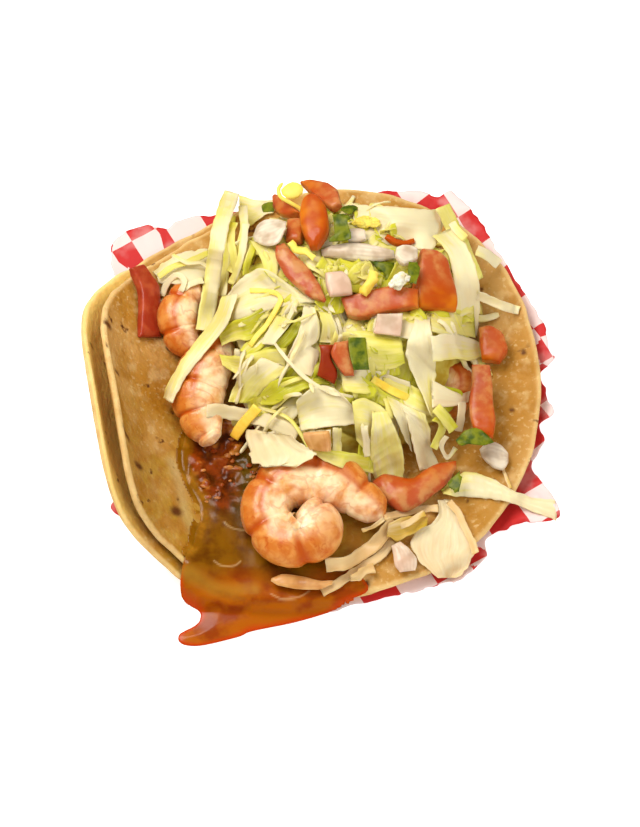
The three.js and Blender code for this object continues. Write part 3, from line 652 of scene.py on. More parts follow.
    def gloss(self, rough_value: float, coat: float = 0.0, coat_rough: float = 0.1,
              specular: float = 0.5) -> None:
        """How shiny it is, with a wet coat."""
        self.body.inputs["Roughness"].default_value = rough_value
        self.body.inputs["Coat Weight"].default_value = coat
        self.body.inputs["Coat Roughness"].default_value = coat_rough
        self.body.inputs["Specular IOR Level"].default_value = specular

    def flesh(self, weight: float, radius: Colour, scale: float) -> None:
        """Light that goes in and comes out nearby: share, reach by colour, and reach in millimetres."""
        self.body.inputs["Subsurface Weight"].default_value = weight
        self.body.inputs["Subsurface Radius"].default_value = radius
        self.body.inputs["Subsurface Scale"].default_value = scale * MM

    def shine_through(self, source: Colour | Socket, share: float) -> None:
        """Mixes in light that passes through a thin sheet."""
        thin = self.node("ShaderNodeBsdfTranslucent")
        self.feed(source, thin.inputs["Color"])
        both = self.node("ShaderNodeMixShader")
        both.inputs[0].default_value = share
        self.link(self.body.outputs[0], both.inputs[1])
        self.link(thin.outputs[0], both.inputs[2])
        self.link(both.outputs[0], self.out.inputs["Surface"])


@dataclass(frozen=True)
class TortillaFinish:
    """Griddled corn: tan with pale grains, brown toasted spots and an oily stain round the salsa."""

    tan: Colour = rgb(202, 154, 84)
    deep: Colour = rgb(178, 124, 40)
    grain: Colour = rgb(222, 190, 130)
    toast: Colour = rgb(96, 52, 16)
    oil: Colour = rgb(160, 104, 8)
    olive: Colour = rgb(170, 128, 30)
    streak: Colour = rgb(190, 164, 108)
    rim: Colour = rgb(240, 210, 146)
    # painted light: a paler colour laid on the rolled side of the lower tortilla, where light falls
    lit: Colour = rgb(250, 212, 112)

    def material(self) -> Material:
        """Builds the material."""
        s = Shader("tortilla_corn")
        base = s.mix(s.blots(20, 4, (0.36, 0.66)), self.tan, self.deep)
        base = s.mix(s.blots(5.5, 5, (0.5, 0.68), 0.45), base, self.grain)
        base = s.mix(s.blots(1.6, 3, (0.56, 0.7), 0.55), base, self.grain)
        base = s.mix(s.blots(9, 4, (0.52, 0.68), 0.6), base, self.oil)
        spots = s.times(s.blots(6.5, 2, (0.66, 0.72)), s.blots(1.6, 3, (0.35, 0.6)))
        wet = s.mix(s.blots(7, 4, (0.42, 0.6), distort=0.5), self.oil, self.olive)
        # the painted light layer lightens the rolled side and stands in for the light on it
        base = s.over(base, ("oil", 0.9, wet), ("lit", 0.8, self.lit), ("streak", 0.75, self.streak),
                      ("rim", 0.7, self.rim))
        s.colour(s.mix(s.maths("MAXIMUM", spots, s.value("toast")), base, self.toast))
        s.relief(s.maths("ADD", s.noise(2.4, 5), s.times(s.cells(1.7), 0.5)), 0.5, 0.7)
        s.gloss(0.6, 0.0, 0.4, 0.2)
        s.flesh(0.15, (1.0, 0.5, 0.2), 2.0)
        return s.material


@dataclass(frozen=True)
class PaperFinish:
    """Thin waxed paper printed with a red and white check, orange where the salsa soaked it."""

    red: Colour = rgb(206, 40, 40)
    white: Colour = rgb(246, 226, 222)
    soaked: Colour = rgb(196, 70, 6)
    square: float = 12.08
    turn: float = math.radians(-30.5)
    shift: Colour = (-0.00257, 0.00131, 0.0)

    def material(self) -> Material:
        """Builds the material: squares that change where a turned coordinate passes a whole number."""
        s = Shader("checked_paper")
        mapping = s.node("ShaderNodeMapping")
        mapping.inputs["Rotation"].default_value = (0, 0, self.turn)
        mapping.inputs["Location"].default_value = self.shift
        s.link(s.place, mapping.inputs["Vector"])
        flat = s.node("ShaderNodeVectorMath", operation="MULTIPLY")
        flat.inputs[1].default_value = (1, 1, 0)
        s.link(mapping.outputs["Vector"], flat.inputs[0])
        check = s.node("ShaderNodeTexChecker")
        check.inputs["Scale"].default_value = 1 / MM / self.square
        s.link(flat.outputs["Vector"], check.inputs["Vector"])
        swapped = s.maths("SUBTRACT", check.outputs["Fac"], s.spread(s.value("flip"), 0.4, 0.6))
        base = s.mix(s.maths("ABSOLUTE", swapped, 0), self.red, self.white)
        base = s.mix(s.blots(9, 3, (0.5, 0.7), 0.25), base, self.white)
        s.colour(s.over(base, ("soak", 1, self.soaked)))
        s.relief(s.noise(6, 3), 0.4, 0.35)
        s.gloss(0.5, 0.0, 0.3, 0.25)
        s.shine_through(rgb(250, 170, 160), 0.15)
        return s.material


@dataclass(frozen=True)
class SalsaFinish:
    """Wet salsa: rust brown and chunky in the valley, amber where it pools, orange red on the paper."""

    rust: Colour = rgb(140, 58, 8)
    lump: Colour = rgb(192, 116, 40)
    dark: Colour = rgb(78, 30, 2)
    olive: Colour = rgb(92, 68, 8)
    pool: Colour = rgb(130, 82, 3)
    pool_dark: Colour = rgb(86, 42, 1)
    spill: Colour = rgb(172, 88, 1)
    spill_deep: Colour = rgb(144, 58, 1)
    red: Colour = rgb(184, 60, 1)
    film: Colour = rgb(160, 106, 20)
    sill: Colour = rgb(170, 122, 36)
    # painted highlight: a pale colour for the glints along the arcs at the pool's edges
    gleam: Colour = rgb(236, 200, 140)

    def material(self) -> Material:
        """Builds the material from the mesh's zone values and noise."""
        s = Shader("wet_salsa")
        base = s.mix(s.blots(5, 4, (0.4, 0.62)), self.rust, self.dark)
        lumps = s.times(s.spread(s.value("chunk"), 0.62, 0.95), s.blots(3, 3, (0.4, 0.6)))
        pool = s.mix(s.blots(11, 4, (0.42, 0.64)), self.pool, self.pool_dark)
        spill = s.mix(s.blots(10, 4, (0.45, 0.65)), self.spill, self.spill_deep)
        film = s.mix(s.blots(6, 3, (0.4, 0.6)), self.film, self.pool)
        # the last layer is a painted highlight along those arcs
        s.colour(s.over(
            s.mix(lumps, base, self.lump), ("pool", 1, pool), ("olive", 1, self.olive), ("spill", 1, spill),
            ("thin", 1, self.red), ("film", 1, film), ("sill", 0.8, self.sill), ("gleam", 0.35, self.gleam),
        ))
        s.relief(s.noise(1.5, 3), 0.12, 0.4)
        s.gloss(0.24, 0.1, 0.06, 0.18)
        s.flesh(0.2, (1.0, 0.35, 0.08), 2.0)
        return s.material


@dataclass(frozen=True)
class ShrimpFinish:
    """Moist cooked shrimp: creamy back, pinkish belly, orange in the grooves and along the side line."""

    cream: Colour = rgb(226, 158, 76)
    pink: Colour = rgb(210, 124, 42)
    orange: Colour = rgb(188, 76, 0)
    white: Colour = rgb(254, 228, 184)

    def material(self) -> Material:
        """Builds the material."""
        s = Shader("cooked_shrimp")
        base = s.mix(s.blots(4.5, 5, (0.4, 0.6), distort=0.5), self.cream, self.pink)
        base = s.mix(s.blots(2.4, 4, (0.56, 0.7), 0.6, distort=1.2), base, self.orange)
        base = s.mix(s.times(s.value("pale"), s.blots(5, 3, (0.2, 0.65))), base, self.white)
        threads = s.maths("ABSOLUTE", s.maths("SUBTRACT", s.noise(8, 3, 0.8), 0.5), 0)
        base = s.mix(s.times(s.spread(threads, 0.07, 0.0), 0.3), base, self.orange)
        s.colour(s.over(base, ("blush", 0.95, self.orange)))
        s.relief(s.noise(1.4, 4), 0.3, 0.4)
        s.gloss(0.34, 0.25, 0.15, 0.35)
        s.flesh(0.3, (1.0, 0.5, 0.2), 2.0)
        return s.material


@dataclass(frozen=True)
class LettuceFinish:
    """Iceberg lettuce: beige and cream at the ribs, yellow and lime at the leafy parts, streaked."""

    name: str = "iceberg_lettuce"
    beige: Colour = rgb(234, 196, 150)
    cream: Colour = rgb(248, 236, 192)
    butter: Colour = rgb(244, 232, 134)
    lime: Colour = rgb(220, 216, 60)
    leaf: Colour = rgb(184, 184, 24)
    shine: Colour = rgb(255, 238, 110)

    def material(self) -> Material:
        """Builds the material from the shreds' tint, vein, across and along values."""
        s = Shader(self.name)
        streaks = s.streaks("across", "along", 1.5, 9.0)
        fine = s.streaks("across", "along", 0.6, 14.0)
        tint = s.maths("ADD", s.value("tint"), s.times(s.maths("SUBTRACT", streaks, 0.52), 0.65))
        tint = s.maths("ADD", tint, s.times(s.maths("SUBTRACT", s.noise(7, 3), 0.5), 0.5))
        base = self.beige
        for low, high, colour in ((-1.1, -0.1, self.cream), (-0.05, 0.3, self.butter),
                                  (0.3, 0.7, self.lime), (0.7, 1.15, self.leaf)):
            base = s.mix(s.spread(tint, low, high), base, colour)
        s.colour(s.mix(s.times(s.spread(fine, 0.52, 0.7), 0.35), base, self.cream))
        s.relief(s.maths("ADD", streaks, s.maths("ADD", fine, s.value("vein"))), 0.22, 0.4)
        s.gloss(0.34, 0.15, 0.2, 0.25)
        s.flesh(0.12, (1.0, 0.9, 0.3), 1.5)
        s.shine_through(self.shine, 0.2)
        return s.material


# A darker, browner copy of the lettuce finish: painted shade, for the rib and the loose shreds at the front.
PAINTED_SHADE_LETTUCE = LettuceFinish(
    "stained_lettuce", rgb(226, 180, 112), rgb(244, 214, 160), rgb(220, 180, 80), rgb(190, 160, 40),
)


@dataclass(frozen=True)
class TomatoFinish:
    """Cut tomato: glossy orange skin, and dull pinkish flesh with pale fibres."""

    name: str = "cut_tomato"
    skin: Colour = rgb(182, 74, 0)
    skin_light: Colour = rgb(204, 112, 4)
    flesh: Colour = rgb(182, 84, 44)
    flesh_light: Colour = rgb(198, 136, 80)

    def material(self) -> Material:
        """Builds the material."""
        s = Shader(self.name)
        skin = s.mix(s.blots(8, 2, (0.4, 0.7)), self.skin, self.skin_light)
        flesh = s.mix(s.blots(4, 4, (0.4, 0.66)), self.flesh, self.flesh_light)
        s.colour(s.over(flesh, ("skin", 1, skin)))
        s.relief(s.noise(1.2, 3), 0.2, 0.25)
        s.gloss(0.34, 0.12, 0.15, 0.25)
        s.flesh(0.25, (1.0, 0.3, 0.1), 2.0)
        return s.material


@dataclass(frozen=True)
class OnionFinish:
    """Moist translucent onion with fine lines along its layers, pinker where its skin value is high."""

    name: str = "cut_onion"
    pale: Colour = rgb(232, 218, 194)
    grey: Colour = rgb(190, 168, 140)
    blush: Colour = rgb(214, 170, 144)

    def material(self) -> Material:
        """Builds the material."""
        s = Shader(self.name)
        base = s.mix(s.blots(5, 2, (0.4, 0.7)), self.pale, self.grey)
        s.colour(s.over(base, ("vein", 0.45, self.grey), ("skin", 1, self.blush)))
        s.relief(s.value("vein"), 0.12, 0.3)
        s.gloss(0.3, 0.15, 0.1, 0.35)
        s.flesh(0.4, (1.0, 0.85, 0.6), 2.5)
        return s.material


@dataclass(frozen=True)
class PlainFinish:
    """One foodstuff in two tones with fine relief and some light inside."""

    name: str
    base: Colour
    second: Colour
    blot: float
    grain: float
    roughness: float
    inside: float
    thin: float = 0.0
    deep: Colour | None = None

    def material(self) -> Material:
        """Builds the material; a deep tone shows where the skin value is high."""
        s = Shader(self.name)
        colour = s.mix(s.blots(self.blot, 3, (0.38, 0.68)), self.base, self.second)
        if self.deep:
            colour = s.over(colour, ("skin", 1, self.deep))
        s.colour(colour)
        s.relief(s.noise(self.grain, 4), 0.25, 0.5)
        s.gloss(self.roughness, 0.05, 0.2, 0.3)
        s.flesh(self.inside, (1.0, 0.7, 0.4), 1.5)
        if self.thin:
            s.shine_through(colour, self.thin)
        return s.material


BIT = PlainFinish("salsa_bits", rgb(146, 60, 10), rgb(196, 128, 60), 3.0, 0.8, 0.3, 0.3)
# The heap's core in a darker olive yellow than the lettuce: painted shade for the gaps between the strips.
PAINTED_SHADE_CORE = PlainFinish("lettuce_inside", rgb(222, 204, 96), rgb(196, 160, 40), 6.0, 1.5, 0.6, 0.2)
FINISHES = {
    "tomato": TomatoFinish(),
    "tomato_dark": TomatoFinish("dark_tomato", rgb(140, 40, 2), rgb(160, 60, 10), rgb(158, 50, 24),
                                rgb(176, 74, 40)),
    "onion": OnionFinish(),
    "onion_tan": OnionFinish("tan_onion", rgb(218, 166, 100), rgb(190, 128, 56)),
    "cilantro": PlainFinish("cilantro_leaf", rgb(128, 134, 8), rgb(66, 88, 0), 3.0, 0.9, 0.45, 0.0, 0.15),
    "cheese": PlainFinish(
        "yellow_cheese", rgb(248, 224, 104), rgb(240, 204, 72), 5.0, 1.0, 0.45, 0.3, deep=rgb(226, 160, 6),
    ),
    "crumble": PlainFinish("white_cheese", rgb(248, 240, 216), rgb(226, 208, 166), 3.0, 0.7, 0.6, 0.3),
}


# ---- tortillas
@dataclass
class Tortilla:
    """One corn tortilla, flat on the right and rolled up on the left on a radius of curl.

    Slide shifts it in the plan, level is its underside's height, and pale says how much painted light makes
    its rolled side paler. The stain, the streak and the toasts are at frame points, a toast with its radius
    in millimetres.
    """

    name: str
    curl: float
    slide: tuple[float, float]
    level: float
    seed: int
    pale: float = 0.0
    sectors: int = 440
    rings_each: int = 100
    stain_line: Points = ((126, 430), (138, 460), (152, 495), (166, 530), (186, 566), (206, 582))
    streak_line: Points = ((172, 462), (178, 478), (182, 498), (188, 518), (196, 538))
    toasts: tuple[tuple[float, float, float], ...] = (
        (108, 324, 1.5), (107, 354, 0.9), (128, 437, 1.1), (140, 466, 1.4), (177, 511, 2.0),
        (118, 372, 0.8),
        (524, 352, 1.0), (512, 410, 0.9), (366, 583, 1.4),
    )

    def face(self, s: Array, a: Array, offset: Array) -> Array:
        """Points of a face: a disc whose part left of the fold's start is rolled on a circle.

        Args:
            s: share of the radius.
            a: angle.
            offset: distance above the middle surface.

        Returns:
            Points in millimetres: the rolled part swings on the radius curl less the offset.
        """
        edge = 0.45 * noise(np.stack([np.cos(a) * 60, np.sin(a) * 60], -1), 5.0, self.seed + 3)
        r = (rim_radius(a) + edge * s**8) * s
        flat_u = r * np.cos(a) + self.slide[0]
        v = r * np.sin(a) + self.slide[1]
        middle = self.level + TORTILLA_THICK / 2
        angle = np.maximum(0, (FOLD_START - flat_u) / self.curl)
        reach = self.curl - offset
        u = np.where(angle > 0, FOLD_START - reach * np.sin(angle), flat_u)
        height = np.where(angle > 0, middle + self.curl - reach * np.cos(angle), middle + offset)
        c, n = math.cos(FOLD_TURN), math.sin(FOLD_TURN)
        x = TORTILLA_MIDDLE[0] + u * c - v * n
        y = TORTILLA_MIDDLE[1] + u * n + v * c
        return np.stack([x, y, height + right_lift(flat_u) + wave(x, y)], -1)

    def surface(self) -> Surface:
        """Both faces with puffs and pits, and a rounded rim: the thickness falls as a circle does."""
        s = np.linspace(0, 1, self.rings_each + 1)[1:] ** 0.62
        a = np.linspace(0, 2 * np.pi, self.sectors, endpoint=False)
        s, a = np.meshgrid(s, a, indexing="ij")
        half = TORTILLA_THICK / 2 * np.sqrt(np.clip(1 - np.clip((s - 0.982) / 0.018, 0, 1) ** 2, 0.04, 1))
        rows, values = [], []
        for sign in (1, -1):
            flat = np.stack([s * np.cos(a) * 76, s * np.sin(a) * 76, s * 0 + 40 * sign], -1)
            puffs = 0.22 * noise(flat, 17, self.seed) + 0.2 * noise(flat, 4.2, self.seed + 1)
            puffs = puffs + 0.1 * noise(flat, 1.9, self.seed + 2)
            grid = self.face(s, a, sign * half + np.minimum(puffs, 0.3) * (1 - 0.7 * s**20))
            marks = (self.marks(grid) if sign > 0
                     else {k: np.zeros_like(s) for k in ("oil", "streak", "toast", "lit")})
            marks["rim"] = smooth((s - 0.975) / 0.02) * (0.7 + 0.3 * noise(flat, 3, self.seed + 5))
            rows.append(grid[::sign])
            values.append({k: v[::sign] for k, v in marks.items()})
        tips = [self.face(np.zeros(1), np.zeros(1), np.full(1, k * TORTILLA_THICK / 2))[0] for k in (1, -1)]
        return rings(np.concatenate(rows), *tips,
                     **{k: np.concatenate([v[k] for v in values]) for k in values[0]})

    def marks(self, grid: Array) -> dict[str, Array]:
        """The marks on the upper face.

        Args:
            grid: the face's points.

        Returns:
            oil, two oval stains round the salsa with uneven edges and a band along the valley; streak, the
            paler line beside it; toast, round spots of a few millimetres; and painted light that makes the
            rolled side paler.
        """
        x, y = grid[..., 0], grid[..., 1]
        near = np.hypot((x + 31) / 27, (y + 33) / 41)
        front = np.hypot((x - 8) / 24, (y + 48) / 16)
        oil = smooth(1.35 - np.minimum(near, front + 0.1) + 0.35 * noise(grid, 9, 40)
                     + 0.2 * noise(grid, 4, 43))
        band = near_line(x, y, SIGHT.on_tortilla(self.stain_line), 12) * (0.75 + 0.25 * noise(grid, 7, 41))
        streak = (near_line(x, y, SIGHT.on_tortilla(self.streak_line), 3.2)
                  * (0.7 + 0.3 * noise(grid, 4, 42)))
        spots = SIGHT.on_tortilla(tuple((c, r) for c, r, _ in self.toasts))
        toast = sum(smooth(1.4 - np.hypot(x - px, y - py) / size)
                    for (px, py, _), (_, _, size) in zip(spots, self.toasts))
        marks = {"oil": np.maximum(oil, band) * 0.9, "streak": streak, "toast": toast}
        # painted light: left of x = -56 the rolled side is made paler, by pale's share
        lit = smooth((-56 - x) / 12) * self.pale + 0 * x
        return {k: np.clip(v, 0, 1) for k, v in marks.items()} | {"lit": lit}

    def build(self, finish: Material) -> Surface:
        """Makes the piece and returns its surface."""
        made = self.surface()
        make_piece(f"{self.name}_baked", made, finish, (self.name,))
        return made


# ---- paper
@dataclass
class Paper:
    """The sheet of checked paper, its torn, crinkled edge given by frame points (column, row).

    A flip is a round place, column, row and radius in the frame, where the check's colours are swapped.
    """

    edge: Points = (
        (108, 262), (112, 240), (128, 228), (146, 224), (162, 227), (176, 220), (190, 214), (212, 213),
        (262, 204), (330, 196), (400, 189), (424, 190), (440, 196), (453, 189), (478, 215), (492, 238),
        (510, 268), (528, 297), (545, 325), (550, 350), (556, 358), (541, 374), (546, 390), (549, 402),
        (555, 413), (540, 425), (545, 440), (532, 465), (537, 476), (552, 497), (558, 517), (529, 523),
        (503, 529), (484, 541), (486, 558), (468, 573), (454, 583), (446, 582), (408, 592), (359, 602),
        (330, 611), (300, 614), (244, 626), (219, 630), (210, 622), (210, 606), (200, 590), (194, 574),
        (178, 557), (160, 527), (128, 520), (114, 511), (111, 503),
        (130, 488), (150, 440), (146, 380), (124, 310),
    )
    flips: tuple[tuple[float, float, float], ...] = ((136, 243, 26), (553, 356, 17), (114, 508, 12),
                                                     (476, 556, 12))
    middle: tuple[float, float] = (2, 0)
    thick: float = 0.3
    ring_count: int = 60
    edge_count: int = 640
    crease_depth: float = 1.6

    def surface(self) -> Surface:
        """The edge's curve drawn in to the middle by shares, with creases that grow towards the edge."""
        share = np.linspace(0, 1, self.ring_count + 1)[1:] ** 0.7
        t = np.linspace(0, 1, self.edge_count, endpoint=False)
        frame = curve(np.array(self.edge + self.edge[:1], float), t)
        z = np.zeros(len(frame))
        for _ in range(12):
            x, y = SIGHT.plan(frame[:, 0], frame[:, 1], z + PAPER_THICK)
            z = 0.5 * z + 0.5 * paper_height(x, y)
        edge = np.stack([x, y], -1)
        edge = edge + 0.5 * drift(edge, 2.3, 61)
        centre = np.array(self.middle)
        plan = centre + (edge[None] - centre) * share[:, None, None]
        x, y = plan[..., 0], plan[..., 1]
        u, v = across_and_along(x, y)
        free = smooth((np.hypot(u, v) - TORTILLA_RADIUS - 1) / 6) * smooth((u + 60) / 30)
        crease = 0.8 * np.abs(noise(plan, 7, 63)) + 0.4 * np.abs(noise(plan, 2.6, 64))
        soak = (smooth((8 - x) / 10 + 0.4 * noise(plan, 5, 65))
                * smooth((-58 - y) / 5 + 0.3 * noise(plan, 3, 66)))
        z = paper_height(x, y) + free * crease * self.crease_depth * (1 - soak)
        spots = [(*SIGHT.plan(c, r, 2.0), size * SIGHT.scale) for c, r, size in self.flips]
        flip = np.max([np.hypot(x - px, y - py) < reach for px, py, reach in spots], axis=0).astype(float)
        top = np.stack([x, y, z + PAPER_THICK], -1)
        tip = np.array([*self.middle, PAPER_THICK])
        down = np.array([0, 0, self.thick])
        pairs = ((top, top - down), (soak, soak), (flip, flip))
        grid, soak, flip = (np.concatenate([upper, lower[::-1]]) for upper, lower in pairs)
        return rings(grid, tip, tip - down, soak=soak, flip=flip)

    def build(self, finish: Material) -> None:
        """Makes the piece."""
        make_piece("paper_checked", self.surface(), finish, ("paper",))


# ---- salsa
@dataclass
class Salsa:
    """The wet salsa in the valley, over the near rim and out over the paper, with bits in it.

    The outline is in the plan, and the marks' lines are in the frame. It is deep in the valley, thinner by
    a share nearer than paper_from, and chunky farther than chunks_from.
    """

    outline: Points = (
        (-26, -2), (-33, -4), (-43, -11), (-45.5, -21), (-43.5, -29), (-40.8, -35), (-39, -42),
        (-41, -50), (-44, -57), (-46, -66), (-44.5, -69.5), (-40, -72.5), (-39.5, -75), (-41, -77.5),
        (-46, -80.5), (-46.5, -83), (-44, -84.5), (-38.5, -84.5), (-27, -81.5), (-22.5, -79.5),
        (-7, -76), (7.5, -71), (15, -67.5), (12, -62), (2, -56), (-4, -44), (-9, -30), (-14, -19),
        (-18, -9), (-21, -2),
    )
    olive_line: Points = ((246, 460), (247, 485), (243, 505), (246, 520))
    sill_line: Points = ((186, 568), (200, 578), (215, 586), (234, 590), (254, 589))
    # painted highlight arcs: frame lines where a pale colour stands in for glints at the pool's edges
    painted_highlight_lines: tuple[Points, ...] = (
        ((225, 524), (229, 528), (236, 531), (244, 532), (252, 531)),
        ((215, 563), (221, 567), (229, 568), (236, 567), (241, 563)),
        ((272, 594), (281, 598), (291, 598), (301, 596), (309, 591)),
    )
    deep: float = 1.8
    cell: float = 0.5
    bit_count: int = 42
    under: float = 0.5
    thinner: float = 0.55
    paper_from: float = -60.0
    chunks_from: float = -42.0

    def distance(self, x: Array, y: Array) -> Array:
        """Distance inside the outline, negative outside: to the nearest edge, signed by crossings."""
        loop = curve(np.array(self.outline + self.outline[:1], float), np.linspace(0, 1, 140))
        inside = np.zeros(x.shape, bool)
        for (ax, ay), (bx, by) in zip(loop[:-1], loop[1:]):
            rise = by - ay if abs(by - ay) > TINY else TINY
            inside ^= ((ay > y) != (by > y)) & (x < (bx - ax) * (y - ay) / rise + ax)
        best = line_distance(x, y, loop)
        return np.where(inside, best, -best)

    def surface(self, ground: Ground) -> Surface:
        """A film over a plan grid: its depth rises from the edge as a root, and it flows over steps.

        Args:
            ground: what the salsa lies on.

        Returns:
            The closed film, cut to the cells where it has depth, with its zones as values.
        """
        xs = np.arange(-50, 22, self.cell)
        ys = np.arange(-88, 6, self.cell)
        x, y = np.meshgrid(xs, ys)
        plan = np.stack([x, y], -1)
        ragged = smooth((y + 62) / 8)
        inside = self.distance(x, y) + ragged * (1.0 * noise(plan, 9, 71) + 0.2 * noise(plan, 2.4, 72))
        bed = ground.at(x, y)
        for _ in range(12):
            spread = sum(np.roll(bed, way, axis) for axis in (0, 1) for way in (1, -1)) / 4
            bed = np.maximum(ground.at(x, y) - 0.1, 0.5 * bed + 0.5 * spread)
        on_paper = smooth((self.paper_from - y) / 5)
        chunky = smooth((y - self.chunks_from) / 10)
        depth = self.deep * (1 - self.thinner * on_paper) * smooth(inside / 6) ** 0.6
        lumps = 1.5 * np.clip(noise(plan, 4.6, 73), -0.2, 1) + 0.8 * np.clip(noise(plan, 2.2, 74), -0.3, 1)
        lumps = (chunky * lumps + 0.15 * noise(plan, 8, 75)) * smooth(inside / 2)
        # the painted highlight: a pale band half a millimetre wide along the arcs, over a low ridge
        lines = [curve(SIGHT.on_tortilla(line), np.linspace(0, 1, 15)) for line in self.painted_highlight_lines]
        gleam = sum(near_line(x, y, line, 0.5) for line in lines)
        sill = near_line(x, y, SIGHT.on_tortilla(self.sill_line), 3.6) * (0.75 + 0.25 * noise(plan, 4, 81))
        olive = near_line(x, y, SIGHT.on_tortilla(self.olive_line), 6.5) * (0.8 + 0.2 * noise(plan, 4, 79))
        top = bed + depth + lumps + np.where(inside < 0, inside * 0.8, 0) + 0.2 * gleam
        dips = smooth((y - self.paper_from) / 4)
        keep = inside > -0.6 - 1.9 * dips
        slope_y, slope_x = np.gradient(inside, self.cell)
        snap = np.minimum(inside, 0) * (1 - dips) * (inside > -1.5)
        x, y = x - snap * slope_x, y - snap * slope_y
        faces = keep[:-1, :-1] & keep[1:, :-1] & keep[:-1, 1:] & keep[1:, 1:]
        thin = smooth(1 - inside / (2.2 + 1.2 * noise(plan, 8, 78))) * smooth((-58 - y) / 8)
        film = smooth(1.2 - inside / (3.0 + 1.5 * noise(plan, 5, 80))) * smooth((y + 62) / 8)
        return self.closed(x, y, top, bed - self.under, faces, {
            "pool": smooth((-33 - y + 4 * noise(plan, 9, 76)) / 12),
            "spill": smooth((-58 - y + 4 * noise(plan, 9, 77)) / 12),
            "thin": thin,
            "film": film * smooth((-24 - x) / 8),
            "olive": olive,
            "chunk": np.clip(0.5 + lumps * 0.45, 0, 1) * chunky,
            "gleam": np.clip(gleam, 0, 1),
            "sill": sill,
        })

    @staticmethod
    def closed(x: Array, y: Array, top: Array, low: Array, faces: Array,
               values: dict[str, Array]) -> Surface:
        """Top and bottom over the kept cells, joined by walls along the border.

        Args:
            x, y: the grid's plan places.
            top, low: heights of both faces.
            faces: which cells are kept.
            values: named values on the grid.

        Returns:
            The closed surface with its loose points dropped.
        """
        rows, cols = x.shape
        number = np.arange(rows * cols).reshape(rows, cols)
        a, b, c, d = number[:-1, :-1], number[:-1, 1:], number[1:, 1:], number[1:, :-1]
        upper = np.stack([a, b, c, d], -1)[faces]
        size = rows * cols
        lower = upper[:, ::-1] + size
        edges = np.concatenate([upper[:, [k, (k + 1) % 4]] for k in range(4)])
        codes = edges[:, 0] * size + edges[:, 1]
        border = edges[~np.isin(codes, edges[:, 1] * size + edges[:, 0])]
        walls = np.stack([border[:, 1], border[:, 0], border[:, 0] + size, border[:, 1] + size], -1)
        points = np.concatenate([np.stack([x, y, top], -1).reshape(-1, 3),
                                 np.stack([x, y, low], -1).reshape(-1, 3)])
        quads = np.concatenate([upper, lower, walls])
        used, quads = np.unique(quads, return_inverse=True)
        kept = {n: np.concatenate([v.ravel(), v.ravel()])[used] for n, v in values.items()}
        return Surface(points[used], quads.reshape(-1, 4), np.zeros((0, 3), int), kept)

    def bits(self, ground: Ground) -> Surface:
        """Chopped bits half sunk in the salsa: uneven pebbles of 0.6 to 3 mm, by a seeded rule."""
        draw = np.random.default_rng(17)
        made = []
        while len(made) < self.bit_count:
            x, y = draw.uniform(-42, -12), draw.uniform(-52, -4)
            if self.distance(np.array(x), np.array(y)) < 2 or (y < -38 and draw.random() < 0.8):
                continue
            size = draw.uniform(0.3, 0.95)
            z = float(ground.at(np.array([x]), np.array([y]))[0])
            bit = pebble(size * draw.uniform(1, 2.2), size, size * 0.45, int(draw.integers(MOST_SEEDS)))
            made.append(bit.moved(by=np.array([x, y, z - 0.35 * size - 0.2])))
        return joined(made)

    def build(self, ground: Ground, finish: Material, bit_finish: Material) -> None:
        """Makes the salsa and its bits, and raises the ground by the salsa."""
        film = self.surface(ground)
        make_piece("salsa_wet", film, finish, ("salsa",))
        ground.add(film.points)
        bits = self.bits(ground)
        make_piece("salsa_bits", bits, bit_finish)


